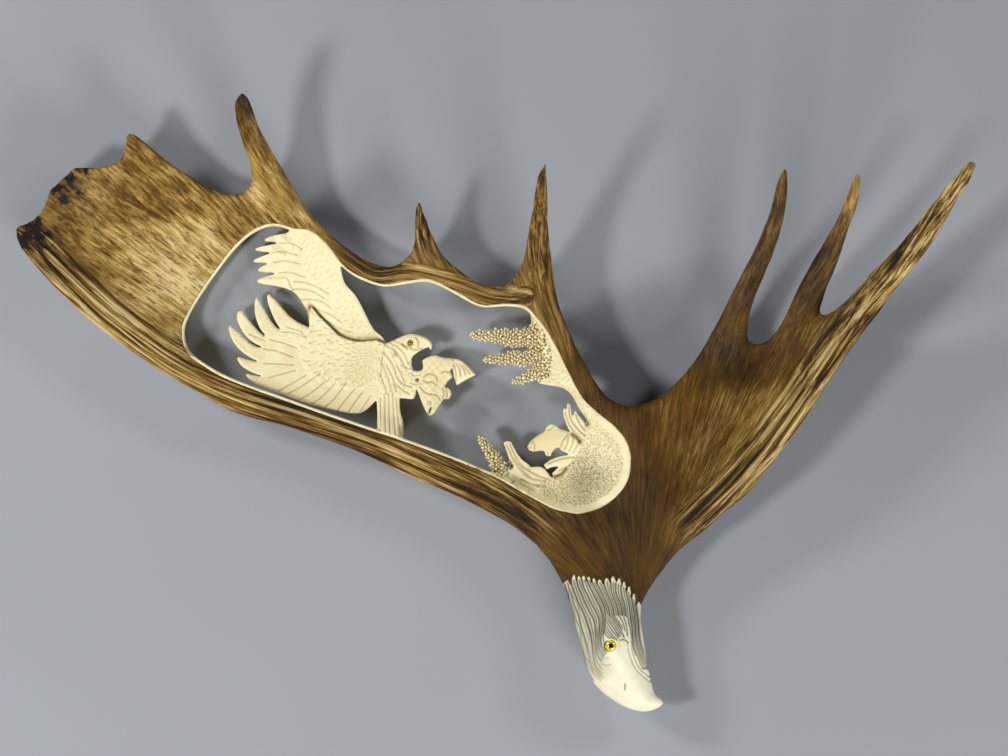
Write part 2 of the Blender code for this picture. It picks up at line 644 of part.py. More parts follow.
def add_object(name, data, colour, roughness):
    material = bpy.data.materials.new(name)
    material.use_nodes = True
    shader = material.node_tree.nodes["Principled BSDF"]
    shader.inputs["Base Color"].default_value = (*colour, 1.0)
    shader.inputs["Roughness"].default_value = roughness
    data.materials.append(material)
    for face in data.polygons:
        face.use_smooth = True
    node = bpy.data.objects.new(name, data)
    bpy.context.scene.collection.objects.link(node)
    return node


def ball(name, centre, radius, colour, roughness, rings):
    mesh = bmesh.new()
    bmesh.ops.create_uvsphere(mesh, u_segments=2 * rings, v_segments=rings, radius=radius * MM)
    bmesh.ops.translate(mesh, verts=mesh.verts, vec=Vector(centre) * MM)
    data = bpy.data.meshes.new(name)
    mesh.to_mesh(data)
    mesh.free()
    return add_object(name, data, colour, roughness)


def socket(host, centre, radius, rings, name):
    """Cuts room for an eye out of its host, with the gap all round."""
    cutter = ball(name, centre, radius + NODE_GAP, (0.5, 0.5, 0.5), 0.5, rings)
    cutter.hide_render = True
    cutter.display_type = "WIRE"
    cut = host.modifiers.new("eye socket", "BOOLEAN")
    cut.operation = "DIFFERENCE"
    cut.solver = "EXACT"
    cut.object = cutter


def shift_to_origin(nodes):
    """Puts the middle of the antler's box on the origin and its lowest point on the floor."""
    antler = nodes[:3]
    corners = np.array([v.co[:] for node in antler for v in node.data.vertices])
    low = corners.min(0)
    high = corners.max(0)
    shift = Vector((-(low[0] + high[0]) / 2, -(low[1] + high[1]) / 2, -low[2]))
    for item in bpy.data.objects:
        for vertex in item.data.vertices:
            vertex.co += shift
    print("plan shift in mm:", [round(v / MM, 3) for v in shift])


def main():
    for item in list(bpy.data.objects):
        bpy.data.objects.remove(item, do_unlink=True)

    antler = outline(ANTLER, OUTLINE_TOLERANCE, OUTLINE_LONGEST)
    window = outline(WINDOW, FIGURE_TOLERANCE, FIGURE_LONGEST)
    figures = [outline(figure, FIGURE_TOLERANCE, FIGURE_LONGEST) for figure in FIGURES]
    figures += [spruce(*tree) for tree in SPRUCES]
    bone = Bone(antler, window)
    sectors = fork_sectors()

    points, faces = plan_triangles(antler, window, figures, bone, sectors)
    faces, centres = kept_triangles(points, faces, antler, window, figures)
    middle = bone.middle(points)
    half = bone.half(points)
    in_window = inside(points, window) & (distance_to(points, *segments(window))[0] > 0.01)
    toward_root = np.clip((points[:, 0] - 20) / 60, 0, 1)
    carved = FIGURE_HALF + (BANK_HALF - FIGURE_HALF) * toward_root ** 2 * (3 - 2 * toward_root)
    half = np.where(in_window, np.minimum(carved, bone.rounding(points) - 0.8), half)

    looks = {"main_palm": (0.42, 0.33, 0.20), "brow_palm": (0.30, 0.20, 0.11),
             "beam": (0.45, 0.38, 0.26)}
    names = {"main_palm": "main_palm", "brow_palm": "brow_palm", "beam": "eagle_head_beam"}
    nodes = []
    for sector, loop in sectors.items():
        part = [face for face, here in zip(faces, inside(centres, loop)) if here]
        part = in_one_piece(part)
        loose = pinched(part)
        while loose:
            dropped = {face for fans in loose.values() for face in fans}
            part = in_one_piece([face for face in part if face not in dropped])
            loose = pinched(part)
        nodes.append(build_solid(names[sector], points, part, middle + half, middle - half,
                                 looks[sector], 0.6))
    by_name = {node.name: node for node in nodes}

    spot = np.array([HEAD_EYE])
    centre_height = float(bone.middle(spot)[0])
    reach = float(bone.half(spot)[0]) + HEAD_EYE_PROUD - HEAD_EYE_RADIUS
    for name, side in (("glass_eye_front", 1), ("glass_eye_back", -1)):
        centre = (*HEAD_EYE, centre_height + side * reach)
        nodes.append(ball(name, centre, HEAD_EYE_RADIUS, (0.75, 0.65, 0.05), 0.1, 8))
        socket(by_name["eagle_head_beam"], centre, HEAD_EYE_RADIUS, 8, name + "_socket")
    spot = np.array([FLYER_EYE])
    reach = FIGURE_HALF + FLYER_EYE_PROUD - FLYER_EYE_RADIUS
    centre = (*FLYER_EYE, float(bone.middle(spot)[0]) + reach)
    nodes.append(ball("flyer_eye", centre, FLYER_EYE_RADIUS, (0.6, 0.6, 0.1), 0.1, 6))
    socket(by_name["main_palm"], centre, FLYER_EYE_RADIUS, 6, "flyer_eye_socket")
    shift_to_origin(nodes)


main()
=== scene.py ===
"""Carved moose antler: the look of the brown bone, the pierced ivory scene and the eagle's head."""

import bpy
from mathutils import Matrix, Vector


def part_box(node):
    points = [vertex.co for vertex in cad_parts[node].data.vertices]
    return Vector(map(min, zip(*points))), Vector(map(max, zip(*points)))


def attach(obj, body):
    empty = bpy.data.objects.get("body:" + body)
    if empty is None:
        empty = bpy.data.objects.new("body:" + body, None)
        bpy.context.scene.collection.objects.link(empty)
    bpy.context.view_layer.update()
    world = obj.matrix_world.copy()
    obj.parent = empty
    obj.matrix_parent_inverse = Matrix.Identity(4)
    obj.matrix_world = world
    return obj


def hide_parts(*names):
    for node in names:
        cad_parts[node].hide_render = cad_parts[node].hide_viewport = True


bl_info = {
    "name": "Carved moose antler",
    "version": (1, 0, 0),
    "blender": (4, 5, 0),
    "location": "3D View > Sidebar > Antler",
    "description": "Builds a carved moose antler round its solid model",
    "category": "Object",
}

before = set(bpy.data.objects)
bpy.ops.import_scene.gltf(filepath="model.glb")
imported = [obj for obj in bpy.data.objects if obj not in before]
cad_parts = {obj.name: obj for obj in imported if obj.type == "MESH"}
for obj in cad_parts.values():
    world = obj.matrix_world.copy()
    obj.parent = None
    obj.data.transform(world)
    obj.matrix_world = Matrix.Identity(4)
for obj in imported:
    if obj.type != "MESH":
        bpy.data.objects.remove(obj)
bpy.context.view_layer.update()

import math

import bmesh
import bpy
import numpy as np
from mathutils import Vector, kdtree, noise

MM = 0.001
# Where the plan's own origin lies in the frame, in millimetres.
PLAN_SHIFT = np.array((9.106, 22.973))
# The photograph is 1008 by 756 pixels of 0.9 mm at the height of the palm.
PHOTO_WIDTH = 1008 * 0.9
PALM_LEVEL = 0.055

# How much copies of the solids grow, and how far skin and carving reach under each other.
SKIN_SWELL = 0.25
CARVING_SWELL = 0.2
RIM_OVERLAP = 0.3
HEAD_OVERLAP = 0.6
# Edges and upright corners sharper than these angles stay sharp when the solids are rounded.
SHARP_EDGE = math.radians(58)
SHARP_CORNER = math.radians(38)
# A face whose normal rises less than this belongs to an upright wall.
WALL_RISE = 0.4
# Sawn edges are rounded over: how far the face drops at the edge, and how wide the drop is.
EDGE_DROP = 1.1
EDGE_WIDTH = 2.0
# The rim round the window stands this much above the plain surface.
RIM_HEIGHT = 0.1
# Cutting blocks stand from below the floor to above the antler, in metres.
BLOCK_FOOT = -0.02
BLOCK_HEIGHT = 0.2

# The camera stands far above the palm, so that the view is nearly without perspective.
CAMERA_HEIGHT = 9.0
FLOOR_HALF_WIDTH = 40
# Round soft lights, all aimed at the middle of the floor: place and width in metres, and watts.
LIGHTS = {
    "low left": ((-1.5, -0.62, 1.8), 0.42, 31),
    "high left": ((-2.2, 1.1, 1.45), 0.5, 38),
    "high right": ((2.2, 1.3, 1.5), 0.6, 23),
    "front": ((1.1, -2.1, 1.3), 1.2, 52),
}
SKY_STRENGTH = 0.05

# The window sawn through the palm, in plan millimetres.
WINDOW = [
    (-190, 133), (-209, 137.5), (-227, 131), (-243, 117), (-258, 98), (-274, 75), (-286.5, 53),
    (-289, 40), (-285, 25), (-275, 16), (-253.5, 3), (-226, -8), (-195, -19), (-164, -30),
    (-129, -42), (-93, -54), (-65, -64), (-31.5, -77), (-6, -88), (19, -102), (44, -115.4),
    (57, -118.8), (70, -120), (90, -113), (106, -98), (112, -80), (110, -62), (100, -47),
    (82, -32), (69, -19), (57, 3), (43, 31), (30.5, 50), (18, 62.6), (1.5, 65), (-21, 64),
    (-46, 77), (-68, 87), (-89, 85), (-109, 82.5), (-133.5, 91), (-148, 102), (-162, 120),
    (-176, 131),
]
# Everything left of this line belongs to the eagle, the rest to the woods.
EAGLE_SIDE = [
    (-330, 170), (-44, 170), (-40, 60), (-33.5, 39), (-24, 20), (-23.6, -5), (-31, -40),
    (-33, -110), (-330, -110),
]
# Upright planes that part large pieces, each given by two plan points.
STEM_PLANE = ((24, -141), (180, -137))
FORK_PLANE = ((125, -128), (117, -24))
WING_TIP_PLANE = ((-176, 0), (-176, 1))
WING_ROOT_PLANE = ((-122, 0), (-122, 1))
WOODS_PLANE = ((0, -40), (1, -40))

# Grain of the bone, in plan millimetres: the palms' grain fans out from the stem.
FAN_CENTRE = (122.0, -218.0)
# Ribs have grain of their own: points of the line, reach to each side, depth of the furrows.
RIB_LINES = [
    ([(-438, 128), (-398, 88), (-352, 47), (-300, 10), (-245, -17), (-180, -38), (-120, -58),
      (-45, -90), (8, -117), (50, -150)], 29, 1.0),
    ([(150, -150), (178, -122), (206, -94), (242, -51), (279, 2), (315, 52), (352, 96),
      (418, 190)], 21, 1.0),
    ([(58, 30), (40, 70), (33, 110), (33, 150), (36, 190)], 18, 0.55),
    ([(-176, 138), (-208, 182), (-226, 215), (-236, 252)], 18, 0.35),
    ([(-62, 94), (-74, 122), (-77, 156)], 14, 0.8),
    ([(206, 50), (228, 96), (244, 140), (252, 186)], 17, 0.35),
    ([(262, 66), (284, 98), (305, 140), (316, 181)], 15, 0.35),
    ([(-176, 128), (-150, 112), (-118, 92), (-86, 95), (-46, 86), (-10, 74), (20, 74)], 12, 0.7),
]
# Colour of the bone: plan point and tone, from 0 for bleached tan to 1 for dark brown.
TONES = [
    (-364, 160, 0.44), (-395, 165, 0.64), (-425, 130, 0.62), (-365, 130, 0.36), (-340, 205, 0.44),
    (-310, 190, 0.40), (-280, 172, 0.48), (-318, 160, 0.56), (-340, 165, 0.44), (-310, 106, 0.17),
    (-283, 88, 0.10), (-300, 130, 0.18), (-345, 88, 0.30), (-270, 130, 0.14), (-255, 156, 0.46),
    (-385, 105, 0.46), (-318, 72, 0.16), (-300, 50, 0.26), (-240, 150, 0.45), (-218, 165, 0.20),
    (-222, 190, 0.26), (-232, 222, 0.50), (-236, 250, 0.86), (-196, 150, 0.30), (-150, 116, 0.44),
    (-100, 94, 0.42), (-76, 125, 0.42), (-77, 156, 0.66), (-40, 88, 0.52), (10, 78, 0.46),
    (30, 130, 0.46), (36, 180, 0.50), (50, 45, 0.50), (80, 0, 0.74), (105, -40, 0.76),
    (125, -100, 0.80), (105, -140, 0.84), (80, -165, 0.72), (95, -178, 0.84), (180, -60, 0.57),
    (196, 16, 0.84), (155, -20, 0.64), (200, -30, 0.52), (250, 35, 0.70), (228, 100, 0.76),
    (250, 180, 0.66), (285, 90, 0.78), (316, 178, 0.30), (205, -95, 0.34), (250, -40, 0.26),
    (300, 20, 0.30), (350, 90, 0.30), (415, 185, 0.34), (-385, 72, 0.40), (-300, 12, 0.20),
    (-272, -6, 0.20), (-184, -38, 0.46), (-139, -56, 0.54), (-76, -78, 0.26), (-31, -101, 0.34),
    (12, -130, 0.70), (160, -140, 0.62), (145, -165, 0.76),
]
# Weathered black spots: plan point and radius.
BLACK_SPOTS = [(-437, 122, 12), (-426, 134, 13), (-415, 124, 9), (-402, 170, 9), (-391, 176, 9),
               (-380, 186, 6), (-398, 160, 6), (-384, 166, 6)]

# The eagle's head, in plan millimetres.
HEAD_EYE = (96.2, -240.8)
# Lengthwise grooves, from the left edge round to the right, each from its top downwards.
HEAD_GROOVES = [
    [(55, -187), (58, -199), (61.5, -212), (65, -227), (69, -243), (74, -260), (80, -272)],
    [(60.5, -184), (63, -194), (68, -205), (73, -216), (77, -228), (78.5, -240), (80, -252),
     (83, -262), (88, -270)],
    [(65.5, -182), (67, -190), (72, -201), (77, -210), (81, -219), (82.3, -230), (82, -240),
     (83.4, -248), (88, -255)],
    [(69.6, -182), (71, -189), (77, -200), (82, -208), (85, -216), (85.6, -226), (84.8, -236),
     (86, -243.5), (90, -249.5)],
    [(74, -182), (77, -189), (82, -198), (87, -207), (88.6, -215), (88, -225), (87.2, -234),
     (88.6, -241), (92, -246.4)],
    [(78.5, -183), (82, -190), (87, -199), (90.4, -206), (91.4, -213), (90.6, -221), (89.8, -230)],
]
# Grooves of the crown, from the upper part of the last lengthwise one to the right.
HEAD_TOP_GROOVES = [
    HEAD_GROOVES[-1][:5],
    [(83.4, -185), (87, -192), (91, -200), (94, -207), (95.5, -213)],
    [(89, -184), (92, -192), (95.5, -200), (98, -207), (99.5, -213)],
    [(95.4, -183), (97, -191), (99.5, -199), (102, -207), (103.5, -213)],
    [(101, -185), (101.7, -193), (104, -201), (106, -208), (107, -213)],
    [(106, -187), (106.6, -195), (108, -203), (109.4, -209), (110.4, -214)],
]
# Grooves down the right side, the short ones over the eye, and faint ones round the cheek.
HEAD_SIDE_GROOVES = [
    [(106, -187), (106.6, -195), (108, -203), (109.5, -211), (111, -220), (112, -229),
     (113, -237)],
    [(110.5, -190), (111.5, -198), (113, -207), (114.5, -216), (115.5, -226), (117, -237),
     (120, -249), (125, -261)],
    [(115, -196), (116, -204), (117.5, -213), (118.5, -223), (120, -234), (123, -247),
     (127.5, -261)],
    [(119, -203), (120, -211), (121.3, -220), (123, -232), (126, -246), (129.5, -262)],
]
HEAD_SHORT_GROOVES = [
    [(90.5, -227), (94, -232), (97, -235)], [(91, -221.5), (96, -228.5), (101.5, -236)],
    [(92, -216), (98, -224), (104, -232.5)], [(95, -213.5), (100.5, -221), (105.5, -229)],
    [(99, -213.5), (103, -219), (106.5, -225)], [(104, -214), (107, -220), (108.6, -227)],
    [(108, -215), (110, -222), (110.6, -231)], [(104, -236), (108, -235.6), (112, -238)],
    [(106, -229), (107.5, -233)], [(101, -229), (103, -232)],
]
HEAD_FAINT_GROOVES = [
    [(86.5, -251.4), (90, -252.4), (94, -252)], [(88, -257.4), (92, -258.6), (96, -258)],
    [(74, -252), (79, -260), (84, -266), (87, -273)], [(79, -256), (83, -261), (88, -266)],
    [(123, -256), (126, -262)], [(121, -259), (124.5, -265)],
]
# Tips of the feathers that lap over the skin, from left to right.
FEATHER_TIPS = [(57, -182), (63, -177), (67.5, -178), (71.6, -177.6), (76.4, -178.4),
                (80.8, -180), (86, -181), (92.4, -179.6), (98.2, -178.2), (103.8, -180),
                (108.2, -183), (112.6, -187.4), (117, -193.6), (120.6, -200)]
MOUTH = [(111.5, -238), (113.4, -249), (117.5, -259), (123, -266), (132, -273.5)]
NOSTRIL = [(109, -275.4), (109, -280.6)]

# The flying eagle.
NEAR_SHOULDER = (-112.0, 26.0)
NEAR_WING = [(-176.4, 45), (-174, 64), (-166, 54.5), (-158, 47), (-150, 39), (-143, 35.3),
             (-135, 33), (-125, 33), (-115, 34), (-108, 31), (-110, 20), (-113, -2), (-114, -22),
             (-125, -45), (-262, -30), (-262, 90), (-196, 90)]
# The step where the near wing laps over the far one; a dark band along it is painted shadow.
WING_STEP = NEAR_WING[1:10]
FAR_LEAD = [(-190, 134), (-176, 130), (-163, 119), (-148, 99), (-144, 86), (-136, 78),
            (-127, 60), (-117, 42), (-109, 34)]
# The near wing's edge seen from its shoulder: directions in degrees, and how far it reaches.
NEAR_DIRECTIONS = [120, 170, 200, 230, 260]
NEAR_REACH = [78, 78, 66, 46, 30]
# Length and width of the carved scales, in millimetres.
SMALL_SCALE = (5.2, 5.2)
LARGE_SCALE = (8.0, 8.2)
FAR_WING_SCALE = (6.2, 6.6)
BODY_SCALE = (5.2, 5.0)
# Distance from one barb of a feather to the next.
NEAR_BARBS = 2.6
FAR_BARBS = 2.4
# Half width of the cuts between feathers and of the fainter ones on the head and the fish.
FEATHER_CUT = 0.6
BODY_CUT = 0.65
FISH_CUT = 0.7
# Lines between the long feathers.
NEAR_FEATHERS = [
    [(-201, 42), (-190, 41), (-178, 37)], [(-211, 35), (-200, 32), (-186, 27)],
    [(-216.5, 26.6), (-205, 24.6), (-190, 19)], [(-217, 13.6), (-204, 13), (-190, 12)],
    [(-212, 0.4), (-200, 4), (-188, 7)], [(-203, -12), (-190, -4), (-178, 3)],
    [(-194.5, -14.5), (-182, -7), (-166, 4)], [(-184, -20), (-172, -12), (-160, -2)],
    [(-173, -24), (-164, -17), (-152, -4)], [(-161.5, -27), (-153, -19), (-142, -4)],
    [(-150, -30), (-143, -20), (-134, -9)], [(-140, -31), (-133, -20), (-127, -12)],
    [(-129, -30), (-124, -22), (-120, -16)],
    [(-196, 46.6), (-190, 44.5), (-182, 42)], [(-230, 40), (-216, 34)],
]
FAR_FEATHERS = [
    [(-203, 122), (-196, 121.8), (-190, 121), (-182, 116.4)],
    [(-210, 113.2), (-202, 114.2), (-196, 113.5), (-186, 111)],
    [(-208, 104.6), (-200, 106), (-195, 105.6), (-184, 103)],
    [(-203, 95.2), (-196, 95.7), (-190, 94.8), (-180, 91)],
    [(-192, 80), (-182, 80.4), (-172, 78), (-162, 72)],
    [(-183, 71), (-174, 71), (-164, 69), (-156, 63)],
    [(-176, 64), (-166, 61), (-156, 57), (-146, 50)],
    [(-190, 87.5), (-178, 86), (-168, 82), (-158, 76)],
    [(-165, 52), (-156, 49), (-146, 44), (-136, 41)],
]
EAGLE_HEAD = [(-104, 36), (-96, 40), (-80, 44), (-60, 36), (-60, 22), (-72, 25), (-80, 21),
              (-86, 15), (-92, 15), (-98, 22)]
NECK_STROKES = [
    [(-107, 30), (-99, 25.6), (-93, 18), (-89, 9)], [(-106, 33), (-97, 29), (-90, 22), (-86, 13)],
    [(-101, 34.6), (-93, 31), (-87, 26)], [(-111, 25), (-104, 18), (-99, 9), (-96, 0)],
    [(-113, 18), (-108, 9), (-104, -1), (-102, -12)], [(-106, 12), (-101, 2), (-97, -8)],
    [(-97, 12), (-92, 3), (-89, -6)], [(-92, 11.6), (-86.5, 9), (-82, 8)],
    [(-112, 4), (-108, -6), (-106, -14)], [(-100, -4), (-97, -12)],
]
BEAK_STROKES = [
    [(-84.5, 27), (-79, 25.4), (-74, 27.2)], [(-79.6, 37), (-77.4, 33), (-77.4, 28)],
    [(-92, 31), (-88.6, 28.4), (-84, 28)],
]
TAIL_STROKES = [
    [(-111.4, -18), (-111.2, -34), (-110.8, -54)], [(-107.6, -14), (-107.2, -34), (-106.4, -56)],
    [(-104, -14), (-103.2, -36), (-102, -58)], [(-100.4, -14), (-99, -36), (-97.2, -58)],
    [(-97.2, -18), (-95.6, -34), (-93.6, -50)],
]
LEG_STROKES = [
    [(-96, -6), (-91, -11), (-85, -14)], [(-97, 1), (-91, -5), (-83, -8)],
    [(-84, 5), (-80.4, 2), (-76, 3)], [(-84, -4), (-79, -6), (-74, -5)],
]
FISH_STROKES = [
    [(-66, -27), (-67.6, -31.6)],
    [(-76, -8), (-72, -12), (-69, -14), (-64, -14.6), (-60, -16), (-57.4, -20)],
    [(-43.4, 14), (-40, 8), (-39, 2)], [(-40, 13), (-36, 7.6), (-34.6, 3)],
    [(-37, 11.6), (-33, 7), (-30.6, 4)], [(-45, 12), (-43.4, 4), (-43.4, -3)],
    [(-72, 1), (-68, 4), (-63.6, 3), (-60.6, 0.4), (-60, -3)],
    [(-73, -2), (-69.4, -4), (-65, -3.4), (-61, -6)],
    [(-56, 5), (-53, 6), (-50.6, 5)], [(-55.4, -9), (-54, -13), (-55, -18)],
    [(-52.6, -10), (-51, -14), (-52, -18)],
]
FISH_BODY = [(-79, -6), (-75, 6), (-73, 18), (-60, 22), (-44, 19), (-46, 8), (-50, -4),
             (-46, -14), (-50, -21), (-58, -25), (-67, -36), (-78, -20)]
FISH_EYE = (-67.2, -22.6)
FLYER_EYE = (-84.5, 31.8)

# The woods: spacing and radius of the pits in the banks, and of the holes among the boughs.
PITS = (2.3, 0.84)
BOUGH_HOLES = (3.2, 1.2)
# Distance from one knob of a spruce's boughs to the next.
KNOB_SPACING = 2.8
WOOD_CUT = 0.95
# Spruces as tip, foot and half width, and the banks, driftwood, stump and fish.
SPRUCES = [
    ((-30.5, 39.2), (30.0, 35.3), 10.5), ((-18.5, 16.6), (35.0, 19.0), 8.6),
    ((7.7, -4.4), (38.0, 8.3), 7.6), ((-22.5, -52.0), (0.0, -87.0), 8.6),
]
TREE_BANK = [(22, 64), (22, -2), (32, -3), (44, -9), (60, -14), (66, -25), (74, -38), (100, -30),
             (70, 30), (40, 68)]
SMOOTH_SNOW = [(29, 52), (35, 44), (40, 33), (43, 24), (43, 12), (42, 2), (34, -2), (32, -8),
               (56, -14), (66, -24), (76, -38), (104, -30), (76, 20), (50, 60), (36, 66)]
PEBBLE_BANK = [(76, -38), (72, -44), (72, -58), (66, -68), (62, -73), (57, -80), (57, -88),
               (46, -91), (36, -92), (26, -97), (8, -98), (6, -112), (46, -134), (90, -130),
               (128, -90), (124, -50), (90, -22)]
BANK_CENTRE = (74, -92)
WOOD_STROKES = [
    [(55.4, -31), (58, -40), (64, -49), (71, -56)], [(58.8, -25), (60, -36), (66, -45), (73, -52)],
    [(65, -33), (68, -40), (73, -47)], [(2.6, -60), (8, -72), (14, -81), (24, -89)],
    [(5.6, -60), (11, -71), (19, -81), (31, -88), (42, -92)], [(9, -72), (16, -80), (24, -83)],
    [(18, -86), (26, -91), (38, -93)], [(16, -92), (26, -96), (38, -98)],
    [(2, -88), (12, -95), (26, -101)], [(40, -77), (47, -74.2), (56, -72), (63, -71.4)],
    [(50, -84), (55, -80.6), (59, -79)],
]
# Hollows under the driftwood and beside the fish's tail, carved deep; their dark is painted shadow.
WOOD_HOLLOWS = [[(46.5, -89), (52, -87), (56.4, -82)], [(62, -50.4), (66, -53.4), (69, -57.4)],
                [(1.4, -72), (5, -76), (7, -80)], [(70.6, -33), (74, -38), (75.6, -42)]]
LEAPER_STROKES = [
    [(26.4, -57), (28, -61), (27.4, -65)], [(21.4, -63), (24.6, -62.6)], [(40, -47), (44.6, -44)],
    [(55, -64), (57.4, -58), (58, -51)], [(58.6, -66), (61.6, -60), (63, -53)],
    [(62.6, -67), (66, -61), (67.6, -56)], [(39.4, -66.6), (40.2, -70)],
    [(51.4, -62), (53, -57), (58, -50)],
]
LEAPER_SPINE = [(24, -60), (40, -56), (60, -57)]
LEAPER_EYE = (25.0, -59.8)

# Glass eyes: radius of the pupils, and the iris's share of the ball's radius.
HEAD_PUPIL = 2.1
FLYER_PUPIL = 0.9
IRIS_SHARE = 0.86


def linear(code):
    """An sRGB hex colour as linear red, green, blue and alpha."""
    parts = [int(code[i:i + 2], 16) / 255 for i in (1, 3, 5)]
    rgb = [p / 12.92 if p <= 0.04045 else ((p + 0.055) / 1.055) ** 2.4 for p in parts]
    return (*rgb, 1.0)


def smoothstep(low, high, value):
    share = np.clip((value - low) / (high - low), 0, 1)
    return share * share * (3 - 2 * share)


# Plan geometry.

def smooth_line(points, steps=4, closed=False):
    """A smooth curve through the points."""
    known = np.array(points, float)
    if closed:
        known = np.concatenate([known[-1:], known, known[:2]])
    else:
        known = np.concatenate([2 * known[:1] - known[1:2], known, 2 * known[-1:] - known[-2:-1]])
    before, here, after, later = known[:-3], known[1:-2], known[2:-1], known[3:]
    curve = []
    for t in np.arange(steps) / steps:
        curve.append(0.5 * (2 * here + (after - before) * t
                            + (2 * before - 5 * here + 4 * after - later) * t ** 2
                            + (3 * here - before - 3 * after + later) * t ** 3))
    curve = np.stack(curve, 1).reshape(-1, 2)
    return curve if closed else np.concatenate([curve, known[-2:-1]])


def even_line(points, count=9):
    """Evenly spaced points of a line."""
    known = np.array(points, float)
    passed = np.concatenate([[0], np.cumsum(np.linalg.norm(np.diff(known, axis=0), axis=1))])
    stops = np.linspace(0, passed[-1], count)
    return np.stack([np.interp(stops, passed, known[:, k]) for k in (0, 1)], 1)


def between(lines, share=0.5):
    """Lines that run between neighbouring lines."""
    return [even_line(a) * (1 - share) + even_line(b) * share for a, b in zip(lines, lines[1:])]


def outset(loop, distance):
    """The loop moved outwards."""
    along = np.roll(loop, -1, axis=0) - np.roll(loop, 1, axis=0)
    along /= np.linalg.norm(along, axis=1)[:, None]
    area = (loop[:, 0] * np.roll(loop[:, 1], -1) - np.roll(loop[:, 0], -1) * loop[:, 1]).sum()
    side = 1 if area > 0 else -1
    return loop + side * distance * np.stack([along[:, 1], -along[:, 0]], 1)


def inside(points, loop):
    """Whether each plan point lies in the loop."""
    start = np.array(loop, float)
    end = np.roll(start, -1, axis=0)
    result = np.zeros(len(points), bool)
    for (ax, ay), (bx, by) in zip(start, end):
        if ay == by:
            continue
        spans = (ay > points[:, 1]) != (by > points[:, 1])
        at = ax + (points[:, 1] - ay) * (bx - ax) / (by - ay)
        result ^= spans & (points[:, 0] < at)
    return result


def line_coordinates(points, line):
    """Distance from a line, distance along it, and signed distance across it."""
    line = np.array(line, float)
    best = np.full(len(points), 1e9)
    along = np.zeros(len(points))
    across = np.zeros(len(points))
    passed = 0.0
    for a, b in zip(line[:-1], line[1:]):
        span = b - a
        size = np.linalg.norm(span)
        way = span / size
        offset = points - a
        place = np.clip(offset @ way, 0, size)
        gap = np.linalg.norm(offset - place[:, None] * way, axis=1)
        side = offset[:, 0] * way[1] - offset[:, 1] * way[0]
        nearer = gap < best
        best = np.where(nearer, gap, best)
        along = np.where(nearer, passed + place, along)
        across = np.where(nearer, np.sign(side) * gap, across)
        passed += size
    return best, along, across


def spot(points, centre, radius):
    """1 at a plan point, falling to 0 round it."""
    return np.exp(-(np.linalg.norm(points - np.array(centre), axis=1) / radius) ** 2)


def ring(points, centre, radius, width):
    """1 on a circle, falling to 0 beside it."""
    gap = np.linalg.norm(points - np.array(centre), axis=1) - radius
    return np.exp(-(gap / width) ** 2)


def strokes(points, lines, width):
    """1 on the lines, falling to 0 at their sides."""
    height = np.zeros(len(points))
    for line in lines:
        known = np.array(line, float)
        reach = 3 * width + 6
        near = ((points > known.min(0) - reach) & (points < known.max(0) + reach)).all(1)
        gap = line_coordinates(points[near], smooth_line(known))[0]
        height[near] = np.maximum(height[near], np.exp(-(gap / width) ** 2))
    return height


def scales(u, v, length, width):
    """Rows of overlapping rounded scales that point along u: height and seam, each 0 to 1."""
    height = np.zeros(len(u))
    seam = np.zeros(len(u))
    row = np.floor(u / length)
    for step in (2, 1, 0):
        here = row - step
        shift = 0.5 * (here % 2)
        centre_v = (np.round(v / width - shift) + shift) * width
        du = (u - (here + 0.35) * length) / (1.4 * length)
        dv = (v - centre_v) / (0.58 * width)
        reach = np.sqrt(np.maximum(du, 0) ** 2 + dv ** 2)
        within = reach < 1
        height = np.where(within, 0.25 + 0.75 * np.clip(du, 0, 1) - 0.25 * dv ** 2, height)
        seam = np.where(within, smoothstep(0.70, 0.92, reach), seam)
    return height, seam


def wavered(points, amount, rate):
    """The points shifted this way and that, as a carver's hand wavers."""
    flat = np.concatenate([points * rate, np.zeros((len(points), 1))], 1)
    return points + amount * np.stack([noise_of(flat), noise_of(flat + 40)], 1)


def stipple(points, spacing, radius):
    """Scattered pits, one to a cell: 1 in a pit and 0 between."""
    random = np.random.default_rng(7)
    low = points.min(0) - spacing
    columns, rows = ((points.max(0) + spacing - low) / (spacing, 0.87 * spacing)).astype(int)
    tree = kdtree.KDTree(int(columns * rows))
    for number in range(columns * rows):
        row, column = divmod(number, columns)
        jitter = random.uniform(-0.24, 0.24, 2)
        x = low[0] + (column + 0.5 * (row % 2) + jitter[0]) * spacing
        y = low[1] + (0.87 * row + jitter[1]) * spacing
        tree.insert((x, y, 0), number)
    tree.balance()
    gaps = np.array([tree.find((x, y, 0))[2] for x, y in points])
    return 1 - smoothstep(0.45 * radius, 1.35 * radius, gaps)


# Meshes.

def new_object(name, data):
    made = bpy.data.objects.new(name, data)
    bpy.context.scene.collection.objects.link(made)
    return made


def mesh_object(name, mesh):
    """An object from a bmesh, which is freed."""
    data = bpy.data.meshes.new(name)
    mesh.to_mesh(data)
    mesh.free()
    return new_object(name, data)


def settle(obj):
    """Applies the modifiers to the mesh."""
    graph = bpy.context.evaluated_depsgraph_get()
    mesh = bpy.data.meshes.new_from_object(obj.evaluated_get(graph))
    old = obj.data
    obj.modifiers.clear()
    obj.data = mesh
    bpy.data.meshes.remove(old)
    return obj


